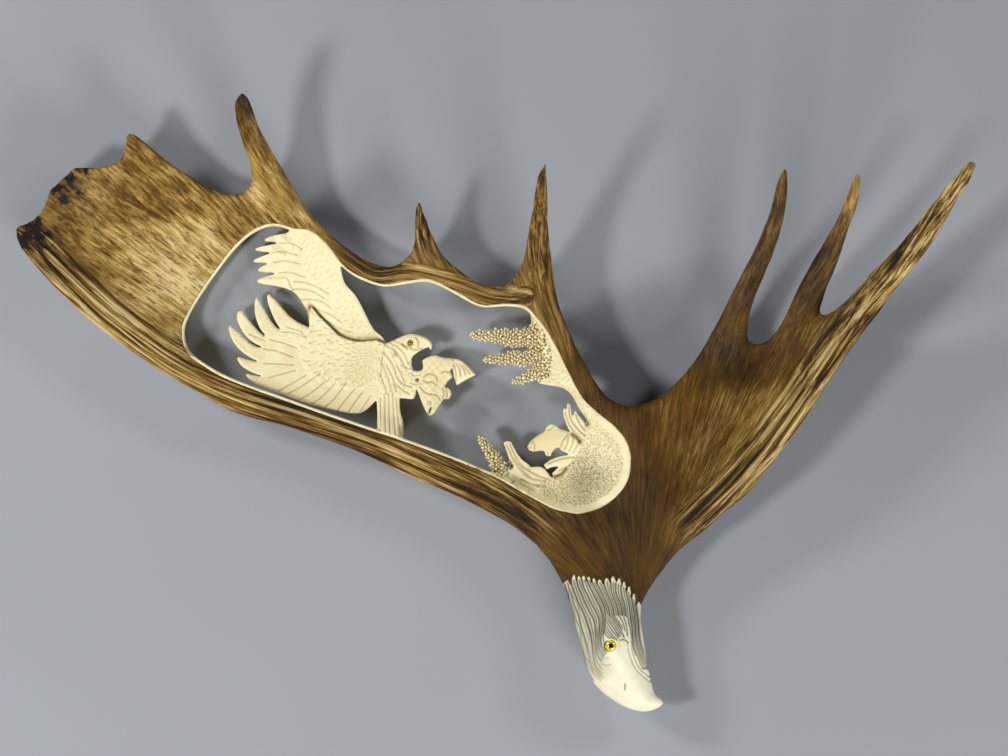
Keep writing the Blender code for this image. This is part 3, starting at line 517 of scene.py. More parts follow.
def rounded_copy(name, nodes, swell):
    """A smooth, closed copy of CAD nodes; edges of sawn walls and sharp corners stay sharp."""
    mesh = bmesh.new()
    for node_name in nodes:
        mesh.from_mesh(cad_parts[node_name].data)
    bmesh.ops.remove_doubles(mesh, verts=mesh.verts, dist=1e-6)
    edge_crease = mesh.edges.layers.float.new("crease_edge")
    vert_crease = mesh.verts.layers.float.new("crease_vert")
    for edge in mesh.edges:
        angle = edge.calc_face_angle(0)
        if angle > SHARP_EDGE:
            edge[edge_crease] = 1
        a, b = (v.co for v in edge.verts)
        upright = (a.xy - b.xy).length < 1e-6
        if upright and angle > SHARP_CORNER:
            for vert in edge.verts:
                vert[vert_crease] = 1
    mesh.normal_update()
    for vert in mesh.verts:
        vert.co += vert.normal * swell * MM
    made = mesh_object(name, mesh)
    divide = made.modifiers.new("round", "SUBSURF")
    divide.levels = divide.render_levels = 2
    divide.use_creases = True
    return settle(made)


def prism(loop):
    """An upright block over a plan loop, taller than the antler."""
    mesh = bmesh.new()
    corners = [mesh.verts.new((*((np.array(p) + PLAN_SHIFT) * MM), BLOCK_FOOT)) for p in loop]
    base = mesh.faces.new(corners)
    grown = bmesh.ops.extrude_face_region(mesh, geom=[base])
    lifted = [g for g in grown["geom"] if isinstance(g, bmesh.types.BMVert)]
    bmesh.ops.translate(mesh, verts=lifted, vec=(0, 0, BLOCK_HEIGHT))
    bmesh.ops.recalc_face_normals(mesh, faces=mesh.faces)
    return mesh_object("cutter", mesh)


def window_loop(shift=0.0):
    return outset(smooth_line(WINDOW, 6, closed=True), shift)


def cut(obj, loop, operation):
    """Cuts a mesh with an upright block over a plan loop."""
    cutter = prism(loop)
    change = obj.modifiers.new("cut", "BOOLEAN")
    change.operation = operation
    change.solver = "EXACT"
    change.object = cutter
    settle(obj)
    bpy.data.objects.remove(cutter, do_unlink=True)


def remesh(obj, voxel, smoothing):
    """An even mesh of small squares, fine enough to carve into."""
    even = obj.modifiers.new("even", "REMESH")
    even.mode = "VOXEL"
    even.voxel_size = voxel
    even.use_smooth_shade = True
    relax = obj.modifiers.new("relax", "SMOOTH")
    relax.factor = 0.5
    relax.iterations = smoothing
    settle(obj)


def part_of(source, name, planes):
    """A closed copy of a mesh between upright planes: points of a plane, and whether left stays."""
    mesh = bmesh.new()
    mesh.from_mesh(source.data)
    for (start, end), left in planes:
        a, b = ((np.array(p) + PLAN_SHIFT) * MM for p in (start, end))
        way = (b - a) / np.linalg.norm(b - a)
        across = (-way[1], way[0], 0) if left else (way[1], -way[0], 0)
        everything = mesh.verts[:] + mesh.edges[:] + mesh.faces[:]
        bmesh.ops.bisect_plane(mesh, geom=everything, dist=1e-7, plane_co=(a[0], a[1], 0),
                               plane_no=across, clear_inner=True)
        edges = [edge for edge in mesh.edges if edge.is_boundary]
        caps = bmesh.ops.holes_fill(mesh, edges=edges, sides=0)["faces"]
        for edge in edges:
            edge.smooth = False
        bmesh.ops.triangulate(mesh, faces=caps)
    return mesh_object(name, mesh)


def read(obj):
    """Vertex places and normals; places are in metres."""
    count = len(obj.data.vertices)
    places = np.empty(count * 3)
    obj.data.vertices.foreach_get("co", places)
    normals = np.empty(count * 3)
    obj.data.vertex_normals.foreach_get("vector", normals)
    return places.reshape(-1, 3), normals.reshape(-1, 3)


def write(obj, places):
    obj.data.vertices.foreach_set("co", places.ravel())
    obj.data.update()


def note(obj, name, values):
    """Stores a value for each vertex, which the material reads."""
    kind = "FLOAT_VECTOR" if values.ndim == 2 else "FLOAT"
    layer = obj.data.attributes.new(name, kind, "POINT")
    layer.data.foreach_set("vector" if values.ndim == 2 else "value", values.ravel())


def plan_of(places):
    return places[:, :2] / MM - PLAN_SHIFT


def wall_distance(places, normals):
    """Plan distance of each vertex from the nearest upright wall of its piece, in millimetres."""
    upright = np.abs(normals[:, 2]) < WALL_RISE
    tree = kdtree.KDTree(int(upright.sum()))
    for index in np.nonzero(upright)[0]:
        tree.insert((places[index, 0], places[index, 1], 0), int(index))
    tree.balance()
    gaps = [tree.find((x, y, 0))[2] for x, y, _ in places]
    return np.array(gaps) / MM


def noise_of(vectors):
    return np.array([noise.noise(v) for v in vectors])


# Materials.

def node(tree, kind, inputs=None, stops=(), **settings):
    """Adds a node with its settings and colour stops, and links or fills its inputs."""
    made = tree.nodes.new(kind)
    for key, value in settings.items():
        setattr(made, key, value)
    for _ in stops[2:]:
        made.color_ramp.elements.new(0.5)
    for number, (place, colour) in enumerate(stops):
        made.color_ramp.elements[number].position = place
        made.color_ramp.elements[number].color = colour
    for key, source in (inputs or {}).items():
        if isinstance(source, bpy.types.Node):
            source = next(output for output in source.outputs if output.enabled)
        if isinstance(source, bpy.types.NodeSocket):
            tree.links.new(source, made.inputs[key])
        else:
            made.inputs[key].default_value = source
    return made


def new_material(name, **values):
    """A material, its node tree and its shader, with even values set on the shader's sockets."""
    made = bpy.data.materials.new(name)
    made.use_nodes = True
    shader = made.node_tree.nodes["Principled BSDF"]
    shader.inputs["IOR"].default_value = 1.54
    for key, value in values.items():
        shader.inputs[key.replace("_", " ")].default_value = value
    return made, made.node_tree, shader


def weathered_antler(look):
    """Antler bone, shed, rain-washed and waxed: a fibrous skin with dark dirt and painted shade in
    its furrows.
    """
    material, tree, shader = new_material("weathered antler skin, waxed", Specular_IOR_Level=0.2)
    values = {name: node(tree, "ShaderNodeAttribute", attribute_name=name).outputs
              for name in ("palm_grain", "rib_grain", "masks", "furrow", "roughness")}
    rib, tone, black = node(tree, "ShaderNodeSeparateXYZ", {0: values["masks"]["Vector"]}).outputs
    # Layers of fibres: grain, cycles per millimetre across and along it, detail and seed. Real
    # fibres are 0.1 mm thick; these are the bundles that the eye sees, 2 to 3 mm wide. Height
    # counts a third as much as width, so that the grain runs on up a slope.
    layers = {}
    for name, grain, across, along, detail, seed in (
            ("streaks", "palm_grain", 0.40, 0.030, 4.0, 0),
            ("flecks", "palm_grain", 0.56, 0.085, 3.0, 40),
            ("mottle", "palm_grain", 0.08, 0.045, 4.0, 120),
            ("clouds", "palm_grain", 0.014, 0.014, 3.0, 80),
            ("rods", "rib_grain", 0.34, 0.008, 4.0, 0),
            ("fine", "rib_grain", 0.60, 0.015, 3.0, 30)):
        place = node(tree, "ShaderNodeVectorMath",
                     {0: values[grain]["Vector"], 1: (across, 0.3 * across, along),
                      2: (seed, 0, 0)},
                     operation="MULTIPLY_ADD")
        layers[name] = node(tree, "ShaderNodeTexNoise", {"Vector": place, "Scale": 1.0,
                                                         "Detail": detail, "Roughness": 0.7})

    # The palms: pale tan to dark brown by the tone, broken up by streaks and dark flecks.
    # The darker the bone, the fainter its streaks.
    fading = node(tree, "ShaderNodeMapRange", {"Value": tone, 1: 0.45, 2: 0.75, 3: 0.0, 4: 0.5})
    streaks = node(tree, "ShaderNodeMix", {0: fading, 2: layers["streaks"], 3: 0.5},
                   data_type="FLOAT")
    shade = tone
    for layer, weight in ((layers["clouds"], 0.5), (layers["mottle"], 0.7), (streaks, 1.7)):
        shade = node(tree, "ShaderNodeMath", {0: layer, 1: weight, 2: shade},
                     operation="MULTIPLY_ADD")
    shade = node(tree, "ShaderNodeMath", {0: shade, 1: 1.41}, operation="SUBTRACT")
    skin = node(tree, "ShaderNodeValToRGB", {"Fac": shade}, stops=[
        (0.0, look.bone_pale), (0.30, look.bone_tan), (0.62, look.bone_brown),
        (1.0, look.bone_dark)])
    spots = node(tree, "ShaderNodeMapRange", {"Value": layers["flecks"], 1: 0.56, 2: 0.63})
    strength = node(tree, "ShaderNodeMapRange", {"Value": tone, 1: 0.0, 2: 0.7, 3: 0.82, 4: 0.50})
    share = node(tree, "ShaderNodeMath", {0: spots, 1: strength}, operation="MULTIPLY")
    skin = node(tree, "ShaderNodeMix", {0: share, 6: skin, 7: look.bone_dark}, data_type="RGBA")

    # The ribs and tines: long ridges rubbed pale gold, with dark brown furrows between. The colour
    # follows the furrow height, so the pale ridge tops are partly painted highlight and the dark
    # furrows partly painted shade, with dirt.
    level = node(tree, "ShaderNodeMath", {0: values["furrow"]["Fac"], 1: 0.42, 2: -1.90},
                 operation="MULTIPLY_ADD")
    for name in ("rods", "fine"):
        level = node(tree, "ShaderNodeMath", {0: layers[name], 1: 1.9, 2: level},
                     operation="MULTIPLY_ADD")
    base = node(tree, "ShaderNodeMapRange", {"Value": tone, 1: 0.0, 2: 0.5, 3: 0.66, 4: 0.45})
    level = node(tree, "ShaderNodeMath", {0: level, 1: values["roughness"]["Fac"], 2: base},
                 operation="MULTIPLY_ADD")
    bright = node(tree, "ShaderNodeValToRGB", {"Fac": level}, stops=[
        (0.18, look.bone_dark), (0.40, look.bone_brown), (0.64, look.bone_tan),
        (0.90, look.bone_pale)])
    deep = node(tree, "ShaderNodeValToRGB", {"Fac": level}, stops=[
        (0.12, look.furrow_black), (0.38, look.bone_dark), (0.66, look.bone_brown),
        (0.96, look.bone_tan)])
    darkness = node(tree, "ShaderNodeMapRange", {"Value": tone, 1: 0.30, 2: 0.80})
    ridge = node(tree, "ShaderNodeMix", {0: darkness, 6: bright, 7: deep}, data_type="RGBA")
    colour = node(tree, "ShaderNodeMix", {0: rib, 6: skin, 7: ridge}, data_type="RGBA")
    colour = node(tree, "ShaderNodeMix", {0: black, 6: colour, 7: look.furrow_black},
                  data_type="RGBA")
    rough = node(tree, "ShaderNodeMapRange", {"Value": level, 1: 0.2, 2: 0.8, 3: 0.66, 4: 0.42})
    height = node(tree, "ShaderNodeMix", {0: rib, 2: layers["streaks"], 3: level},
                  data_type="FLOAT")
    height = node(tree, "ShaderNodeMath", {0: spots, 1: -0.2, 2: height},
                  operation="MULTIPLY_ADD")
    bump = node(tree, "ShaderNodeBump", {"Height": height, "Strength": 0.9, "Distance": 0.0011})
    for socket, source in (("Base Color", colour.outputs[2]), ("Roughness", rough.outputs[0]),
                           ("Normal", bump.outputs[0])):
        tree.links.new(source, shader.inputs[socket])
    return material


def carved_antler(look, ivory, cut_shade):
    """Antler cut below its skin and sanded: dense ivory bone with grey dust in places, and painted
    shade in the cuts.
    """
    material, tree, shader = new_material(
        "carved antler, sanded", Roughness=0.5, Specular_IOR_Level=0.35, Subsurface_Weight=0.08,
        Subsurface_Radius=(0.0016, 0.0011, 0.0007), Subsurface_Scale=1.0)
    place = node(tree, "ShaderNodeTexCoord").outputs["Object"]
    values = node(tree, "ShaderNodeAttribute", attribute_name="cuts").outputs["Vector"]
    cuts, dust, tan = node(tree, "ShaderNodeSeparateXYZ", {0: values}).outputs
    # Clouds about 17 mm wide turn the ivory a little warmer in places.
    clouds = node(tree, "ShaderNodeTexNoise", {"Vector": place, "Scale": 60.0, "Detail": 4.0})
    warm = node(tree, "ShaderNodeMapRange", {"Value": clouds, 1: 0.35, 2: 0.65, 3: 0.0, 4: 0.35})
    warm = node(tree, "ShaderNodeMath", {0: warm, 1: tan}, operation="MAXIMUM")
    body = node(tree, "ShaderNodeMix", {0: warm, 6: ivory, 7: look.ivory_tan},
                data_type="RGBA")
    body = node(tree, "ShaderNodeMix", {0: dust, 6: body, 7: look.dust}, data_type="RGBA")
    # The cuts take the cut colour: painted shade in their bottoms.
    body = node(tree, "ShaderNodeMix", {0: cuts, 6: body, 7: cut_shade}, data_type="RGBA")
    # Sanding grit leaves scratches finer than a pixel; these are drawn 1.2 mm apart.
    grit = node(tree, "ShaderNodeTexNoise", {"Vector": place, "Scale": 800.0, "Detail": 3.0})
    bump = node(tree, "ShaderNodeBump", {"Height": grit, "Strength": 0.5, "Distance": 0.0003})
    tree.links.new(body.outputs[2], shader.inputs["Base Color"])
    tree.links.new(bump.outputs[0], shader.inputs["Normal"])
    return material


def glass_eye(look, name, centre, pupil_mm, iris_mm):
    """Lampworked glass eye: a black pupil and a yellow iris under clear polished glass."""
    material, tree, shader = new_material(name, Roughness=0.08, Coat_Weight=1.0,
                                          Coat_Roughness=0.03)
    place = node(tree, "ShaderNodeTexCoord").outputs["Object"]
    local = node(tree, "ShaderNodeVectorMath", {0: place, 1: centre}, operation="SUBTRACT")
    flat = node(tree, "ShaderNodeVectorMath", {0: local, 1: (1 / MM, 1 / MM, 0.0)},
                operation="MULTIPLY")
    radius = node(tree, "ShaderNodeVectorMath", {0: flat}, operation="LENGTH").outputs["Value"]
    share = node(tree, "ShaderNodeMath", {0: radius, 1: iris_mm}, operation="DIVIDE")
    edge = pupil_mm / iris_mm
    colour = node(tree, "ShaderNodeValToRGB", {"Fac": share}, stops=[
        (edge - 0.06, look.pupil), (edge + 0.04, look.iris_dark), (0.72, look.iris),
        (0.90, look.iris_dark), (1.0, look.bone_dark)])
    tree.links.new(colour.outputs["Color"], shader.inputs["Base Color"])
    return material


def backdrop(look):
    """Matte seamless paper: a pale blue-grey with a very faint mottle, so it stays quiet."""
    material, tree, shader = new_material("seamless paper, pale grey", Roughness=0.9,
                                          Specular_IOR_Level=0.2)
    place = node(tree, "ShaderNodeTexCoord").outputs["Object"]
    mottle = node(tree, "ShaderNodeTexNoise", {"Vector": place, "Scale": 3.0, "Detail": 2.0})
    colour = node(tree, "ShaderNodeMix", {0: mottle, 6: look.paper, 7: look.paper_light},
                  data_type="RGBA")
    tree.links.new(colour.outputs[2], shader.inputs["Base Color"])
    return material


# Relief, in millimetres above the plain surface. The dark cuts that go with it are painted shade in
# the bottoms of grooves, seams, pits, holes and hollows.

def far_wing_relief(plan, uneven):
    """Height and dark cuts of the raised wing: scales inside its leading edge, then feathers."""
    out, along, _ = line_coordinates(uneven, smooth_line(FAR_LEAD))
    barbs = np.sin(2 * math.pi * (uneven[:, 0] + 0.6 * uneven[:, 1]) / FAR_BARBS)
    scale, seam = scales(out + 1.2 * np.sin(along / 9), along, *FAR_WING_SCALE)
    cover = smoothstep(30, 24, out) * smoothstep(3.0, 5.0, out)
    lines = strokes(plan, FAR_FEATHERS, FEATHER_CUT)
    height = -0.9 - 0.9 * lines + cover * (1.1 * scale - 0.6 * seam)
    height += 0.8 * smoothstep(5, 2.5, out) + 0.14 * barbs * (1 - cover)
    cuts = 0.42 * lines + 0.24 * cover * seam + 0.08 * (barbs < 0) * (1 - cover)
    # Along the step the far wing sinks into a groove, and a dark band is painted there as the near
    # wing's shadow.
    step = line_coordinates(plan, WING_STEP)[0]
    height -= 2.2 * np.exp(-(step / 4.5) ** 2)
    cuts = np.maximum(cuts, 0.95 * np.exp(-((step - 0.6) / 2.2) ** 2))
    return height, cuts


def near_wing_relief(plan, uneven):
    """Height, dark cuts and tan of the near wing: small scales, large scales, long feathers."""
    offset = uneven - np.array(NEAR_SHOULDER)
    radius = np.linalg.norm(offset, axis=1)
    angle = np.degrees(np.arctan2(offset[:, 1], offset[:, 0])) % 360
    share = radius / np.interp(angle, NEAR_DIRECTIONS, NEAR_REACH)
    curl = np.radians(angle) * 52 + 2.0 * np.sin(radius / 6)
    large, large_seam = scales(radius + 1.5 * np.sin(angle / 4), curl, *LARGE_SCALE)
    small, small_seam = scales(radius, np.radians(angle) * 30, *SMALL_SCALE)
    flight = smoothstep(0.96, 1.06, share)
    middle = smoothstep(0.50, 0.56, share) * (1 - flight)
    root = 1 - smoothstep(0.50, 0.56, share)
    lines = strokes(plan, NEAR_FEATHERS, FEATHER_CUT)
    barbs = np.sin(2 * math.pi * (np.radians(angle) + 0.7) * radius / NEAR_BARBS)
    height = 1.0 + flight * (-0.5 + 0.14 * barbs) + middle * (1.3 * large - 0.7 * large_seam)
    height += root * (1.3 * small - 0.8 * small_seam) + 1.6 * np.exp(-(radius / 46) ** 2)
    height -= 0.9 * lines
    cuts = 0.48 * lines + 0.32 * middle * large_seam + 0.55 * root * small_seam
    cuts += 0.08 * flight * (barbs < 0)
    fringe = smoothstep(-8, -22, plan[:, 1] + 0.25 * (plan[:, 0] + 160))
    tan = np.clip(0.50 * spot(plan, (-132, 2), 22) + 0.45 * fringe, 0, 1)
    return height, cuts, tan


def flying_eagle(plan):
    """Height, dark cuts and tan shading of the eagle and its fish."""
    near = inside(plan, NEAR_WING)
    far = ~near & (plan[:, 0] < -107.5) & (plan[:, 1] > 31)
    uneven = wavered(plan, 2.4, 0.10)
    height, cuts, tan = near_wing_relief(plan, uneven)
    far_height, far_cuts = far_wing_relief(plan, uneven)
    height = np.where(far, far_height, height)
    cuts = np.where(far, far_cuts, cuts)
    tan = np.where(far, 0.15, tan)

    body = ~near & ~far
    lines = strokes(plan, NECK_STROKES + TAIL_STROKES + LEG_STROKES, BODY_CUT)
    fine = strokes(plan, BEAK_STROKES + FISH_STROKES, FISH_CUT)
    fish = body & inside(plan, FISH_BODY)
    head = body & inside(plan, EAGLE_HEAD)
    belly = 1.6 * strokes(plan, [[(-100, 26), (-98, -10)]], 11)
    down = 100 - uneven[:, 1] + 0.3 * uneven[:, 0]
    scale, seam = scales(down, uneven[:, 0] + 300, *BODY_SCALE)
    trunk = body & (plan[:, 0] < -82) & (plan[:, 1] > -16) & ~head & ~fish
    height = np.where(body, 0.8 - 1.0 * lines - 0.9 * fine + belly, height)
    height = np.where(trunk, height + 1.1 * scale - 0.6 * seam, height)
    cuts = np.where(body, 0.5 * lines + 0.7 * fine, cuts)
    cuts = np.where(trunk, np.maximum(cuts, 0.40 * seam), cuts)
    tan = np.where(body, 0.1, tan)
    brow = strokes(plan, [[(-93, 32), (-86, 35.4), (-79, 34.6)]], 1.5)
    height = np.where(head, 1.9 - 0.9 * (lines + fine) + brow, height)
    round_fish = strokes(plan, [[(-67, -27), (-66, -8), (-60, 8), (-44, 12)]], 7)
    lumps = np.sin(plan[:, 0] * 0.9) * np.sin(plan[:, 1] * 0.8 + 1)
    height = np.where(fish, 0.2 - fine + 1.8 * round_fish + 0.25 * lumps, height)
    tan = np.where(fish, 0.45 + 0.2 * lumps, tan)
    height = np.where(body & (plan[:, 0] > -46.5), 0.6 - 0.9 * fine, height)
    # The fish's mouth and eye ring, a deep pit and the nape are cut low and painted dark, and a
    # dark ring sits round the flying eagle's eye: all painted shade.
    mouth = strokes(plan, FISH_STROKES[:1], 1.1) * fish
    fish_eye = ring(plan, FISH_EYE, 1.6, 0.6) * fish
    pit = spot(plan, (-78.2, -1.6), 1.7)
    nape = spot(plan, (-98, 22), 2.4)
    height -= 2.0 * mouth + 0.6 * fish_eye + 4.0 * pit + 0.8 * nape
    dark = [mouth, 0.45 * fish_eye, pit, 0.5 * nape, 0.6 * ring(plan, FLYER_EYE, 2.4, 0.7) * head]
    return height, np.maximum.reduce([cuts] + dark), tan


def woods(plan):
    """Height, dark cuts, dust, tan shading and sideways growth of the woods and banks."""
    height = np.zeros(len(plan))
    cuts = np.zeros(len(plan))
    tan = np.full(len(plan), 0.1)
    swell = np.zeros(len(plan))
    from_rim = line_coordinates(plan, smooth_line(WINDOW, 2, closed=True))[0]
    pebbled = inside(plan, PEBBLE_BANK) * smoothstep(3.0, 6.0, from_rim)
    uneven = wavered(plan, 1.8, 0.16)
    flat = np.concatenate([plan, np.zeros((len(plan), 1))], 1)
    lumps = noise_of(flat * 0.30) + 0.5 * noise_of(flat * 0.62)
    pits = stipple(uneven, *PITS) * smoothstep(-0.75, 0.15, lumps)
    height += pebbled * (0.5 - 1.2 * pits + 0.5 * lumps)
    cuts += (0.42 + 0.56 * spot(plan, BANK_CENTRE, 20)) * pebbled * pits
    dust = 0.6 * pebbled * spot(plan, BANK_CENTRE, 20)
    trees = inside(plan, TREE_BANK)
    snow = inside(plan, SMOOTH_SNOW)
    holes = stipple(uneven + 40, *BOUGH_HOLES)
    height = np.where(trees & ~snow, 0.3 - 1.4 * holes + 0.6 * lumps, height)
    cuts = np.where(trees & ~snow, 0.9 * holes, cuts)
    height = np.where(trees & snow, 0.8 - 0.9 * pits + 0.9 * lumps, height)
    cuts = np.where(trees & snow, 0.22 * pits, cuts)
    turn = 2 * math.pi / KNOB_SPACING
    for tip, foot, half_width in SPRUCES:
        gap, along, across = line_coordinates(plan, [tip, foot])
        length = math.dist(tip, foot)
        near = gap < 20
        along[near] += 2.0 * noise_of(flat[near] * 0.22)
        across[near] += 2.0 * noise_of(flat[near] * 0.22 + 50)
        lattice = (np.cos(turn * along) + np.cos(turn * (along / 2 + across * 0.866))
                   + np.cos(turn * (along / 2 - across * 0.866)))
        reach = half_width * (0.4 + 0.75 * along / length) + 2.0
        here = (gap < reach) & ~snow & (along > -1) & (along < length - 1)
        ridge = 1.6 * np.cos(np.clip(gap / reach, 0, 1) * math.pi / 2)
        height = np.where(here, 0.85 * lattice + ridge - 0.4, height)
        cuts = np.where(here, 1.0 * smoothstep(0.1, -1.1, lattice), cuts)
        tan = np.where(here, 0.20, tan)
        swell = np.where(here, 0.42 * lattice, swell)
    lines = strokes(plan, WOOD_STROKES, WOOD_CUT)
    # The hollows are cut deep and painted dark: painted shadow.
    hollow = strokes(plan, WOOD_HOLLOWS, 2.0)
    fish = strokes(plan, LEAPER_STROKES, FISH_CUT)
    leaper = (line_coordinates(plan, LEAPER_SPINE)[0] < 10) & (plan[:, 0] < 68)
    leaper &= (plan[:, 1] > -71.5) & ~((plan[:, 0] > 52) & (plan[:, 1] > -48))
    leaper &= ~inside(plan, PEBBLE_BANK)
    height -= 1.3 * lines + 0.9 * fish + 3.2 * hollow
    height += 1.8 * leaper * strokes(plan, [LEAPER_SPINE], 7)
    tan = np.where(leaper, 0.55 * smoothstep(64, 50, plan[:, 0]) + 0.1, tan)
    dark = [0.55 * lines, 0.6 * fish, 0.95 * hollow, 0.8 * spot(plan, LEAPER_EYE, 0.7)]
    return height, np.maximum.reduce([cuts] + dark), dust, tan, swell


def head_relief(plan):
    """Height, dark cuts and dust of the eagle's head."""
    main = HEAD_GROOVES + HEAD_TOP_GROOVES[1:] + HEAD_SIDE_GROOVES[1:]
    finer = between(HEAD_GROOVES) + between(HEAD_TOP_GROOVES) + between(HEAD_SIDE_GROOVES)
    quarter = [line for lines in (HEAD_GROOVES, HEAD_TOP_GROOVES) for share in (0.25, 0.75)
               for line in between(lines, share)]
    uneven = wavered(plan, 1.5, 0.06)
    deep = strokes(uneven, main, 0.95)
    middle = strokes(uneven, finer, 0.75)
    light = strokes(wavered(plan, 1.7, 0.08), quarter, 0.6)
    short = strokes(uneven, HEAD_SHORT_GROOVES + between(HEAD_SHORT_GROOVES[:5]), 0.65)
    faint = strokes(plan, HEAD_FAINT_GROOVES, 0.8)
    upper = smoothstep(-272, -225, plan[:, 1])
    eye_gap = np.linalg.norm(plan - np.array(HEAD_EYE), axis=1)
    clear = smoothstep(5.0, 7.5, eye_gap)
    mouth = strokes(plan, [MOUTH, [(x + 3.0, y + 1.2) for x, y in MOUTH]], 0.8)
    slit = strokes(plan, [NOSTRIL], 0.6)
    height = -clear * (1.1 * deep + 0.8 * middle + 0.3 * light + 0.5 * short + 0.5 * faint)
    height += 0.9 * ring(plan, HEAD_EYE, 6.2, 1.1) - 1.2 * mouth - 1.6 * slit
    fade = clear * (0.35 + 0.65 * upper)
    dark = [1.0 * deep * fade, 0.88 * middle * fade, 0.55 * light * fade * upper,
            0.95 * short * clear, 0.35 * faint * clear, 0.25 * mouth, 0.7 * slit]
    side = smoothstep(26, 4, plan[:, 0] - 0.36 * (-180 - plan[:, 1]) - 50)
    dust = 0.26 * smoothstep(-246, -214, plan[:, 1] - 0.5 * np.abs(plan[:, 0] - 96)) * clear
    dust = np.maximum(dust, 0.45 * side * smoothstep(-276, -262, plan[:, 1]))
    return height, np.maximum.reduce(dark), dust


def head_loop(shift):
    """The head's outline from above, far outside the bone but for its row of feather tips."""
    loop = [(44, -205), (50, -190)]
    for (ax, ay), (bx, by) in zip(FEATHER_TIPS, FEATHER_TIPS[1:]):
        notch = min(ay, by) - 4.6
        loop += [(ax - 0.7, ay - 0.7), (ax + 0.5, ay - 0.2), ((ax + bx) / 2 - 0.3, notch + 0.4),
                 ((ax + bx) / 2 + 0.3, notch)]
    loop += [(121.4, -201), (124, -208), (170, -225), (170, -330), (30, -330)]
    return [(x, y + shift) for x, y in loop]


def bark_values(plan, z):
    """Grain vectors, masks, furrow height and share of the furrow depth of the skin."""
    offset = plan - np.array(FAN_CENTRE)
    distance = np.linalg.norm(offset, axis=1)
    around = np.arctan2(offset[:, 1], offset[:, 0])
    palm = np.stack([around * 480, z, distance], 1)
    rib = palm.copy()
    mask = np.zeros(len(plan))
    roughness = np.ones(len(plan))
    for number, (line, reach, furrow) in enumerate(RIB_LINES):
        curve = smooth_line(line)
        gap, along, across = line_coordinates(plan, curve)
        length = np.linalg.norm(np.diff(curve, axis=0), axis=1).sum()
        root = length - along if number == 0 else along
        here = (1 - smoothstep(0.60, 1.05, gap / reach)) * smoothstep(0, 34, root)
        nearer = here > mask
        rib[nearer] = np.stack([across, z, along + 700 * number], 1)[nearer]
        roughness[nearer] = furrow
        mask = np.maximum(mask, here)
    known = np.array(TONES)
    weight = (((plan[:, None] - known[None, :, :2]) ** 2).sum(2) + 60) ** -1.8
    tone = (weight * known[None, :, 2]).sum(1) / weight.sum(1)
    black = np.zeros(len(plan))
    for x, y, radius in BLACK_SPOTS:
        black = np.maximum(black, spot(plan, (x, y), 0.8 * radius))
    # Noise layers, in cycles per millimetre across the grain, upwards and along it.
    rough = noise_of(palm * (0.42, 0.15, 0.13)) + 0.5 * noise_of(palm * (0.25, 0.1, 0.06) + 3)
    black = smoothstep(0.46, 0.60, black + 1.1 * rough) * smoothstep(0.05, 0.25, black)
    palm_ridge = (noise_of(palm * (0.13, 0.06, 0.012))
                  + 0.6 * noise_of(palm * (0.26, 0.08, 0.03) + 9))
    rib_ridge = (noise_of(rib * (0.20, 0.08, 0.006))
                 + 0.7 * noise_of(rib * (0.40, 0.14, 0.012) + 5))
    furrow = palm_ridge * (1 - mask) + rib_ridge * mask
    return palm, rib, np.stack([mask, tone, black], 1), furrow, roughness


def size_property(name, description, millimetres):
    return bpy.props.FloatProperty(name=name, description=description, default=millimetres * MM,
                                   min=0, unit="LENGTH", subtype="DISTANCE")


def colour_property(name, description, code):
    return bpy.props.FloatVectorProperty(name=name, description=description, size=4,
                                         default=linear(code), min=0, max=1, subtype="COLOR")


class CARVEDANTLER_PG_look(bpy.types.PropertyGroup):
    skin_step: size_property("Skin mesh step", "Squares of the antler's skin", 1.55)
    carving_step: size_property("Carving mesh step", "Squares of the pierced scene", 0.64)
    head_step: size_property("Head mesh step", "Squares of the eagle's head", 0.62)
    furrow_depth: size_property("Furrow depth", "Depth of the furrows along the ribs", 1.5)
    palm_relief: size_property("Palm relief", "Height of the grain on the flat palms", 0.45)
    rim_width: size_property("Rim width", "Width of the pale bevel round the window", 2.2)
    # Pale bone also colours the tops of the rib ridges, and dark bone and furrow black their
    # furrows: there partly painted highlight and painted shade.
    bone_pale: colour_property("Pale bone", "Bleached tan of the palm", "#D6BE84")
    bone_tan: colour_property("Tan bone", "Middle colour of the skin", "#A58544")
    bone_brown: colour_property("Brown bone", "Brown of the thick edges", "#664608")
    bone_dark: colour_property("Dark bone", "Dirt in the grain", "#281A05")
    furrow_black: colour_property("Furrow black", "Deepest furrows and weathered spots", "#14100A")
    ivory: colour_property("Ivory", "Cut bone of the pierced scene", "#F0E6BA")
    head_ivory: colour_property("Head ivory", "Cut bone of the eagle's head", "#EEEACF")
    ivory_tan: colour_property("Warm ivory", "Cut bone near the skin", "#D4C08C")
    dust: colour_property("Dust", "Grey dust on the cut bone", "#7E7660")
    # Painted shade in the bottoms of the cuts, in the scene and on the head.
    cut_shade: colour_property("Cut lines", "Bottoms of the cuts in the scene", "#8E7538")
    head_cut_shade: colour_property("Head cut lines", "Bottoms of the head's grooves", "#373228")
    iris: colour_property("Iris", "Yellow of the glass eyes", "#E9DA0C")
    iris_dark: colour_property("Iris edge", "Edge of the iris", "#A39410")
    pupil: colour_property("Pupil", "Black of the glass eyes", "#060504")
    paper: colour_property("Backdrop", "Paper under the antler", "#92969B")
    paper_light: colour_property("Backdrop mottle", "Paler parts of the paper", "#999DA2")


def finish(obj, material, node_name):
    """Gives a piece its material, parents it to the root body, and hides the CAD node that it
    replaces.
    """
    obj.data.materials.clear()
    obj.data.materials.append(material)
    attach(obj, "root")
    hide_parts(node_name)


def share_out(source, material, parts):
    """Parts a large mesh along upright planes into closed pieces, which take its place."""
    for name, planes, node_name, slot in parts:
        finish(part_of(source, name, planes), material, node_name)
    bpy.data.objects.remove(source, do_unlink=True)


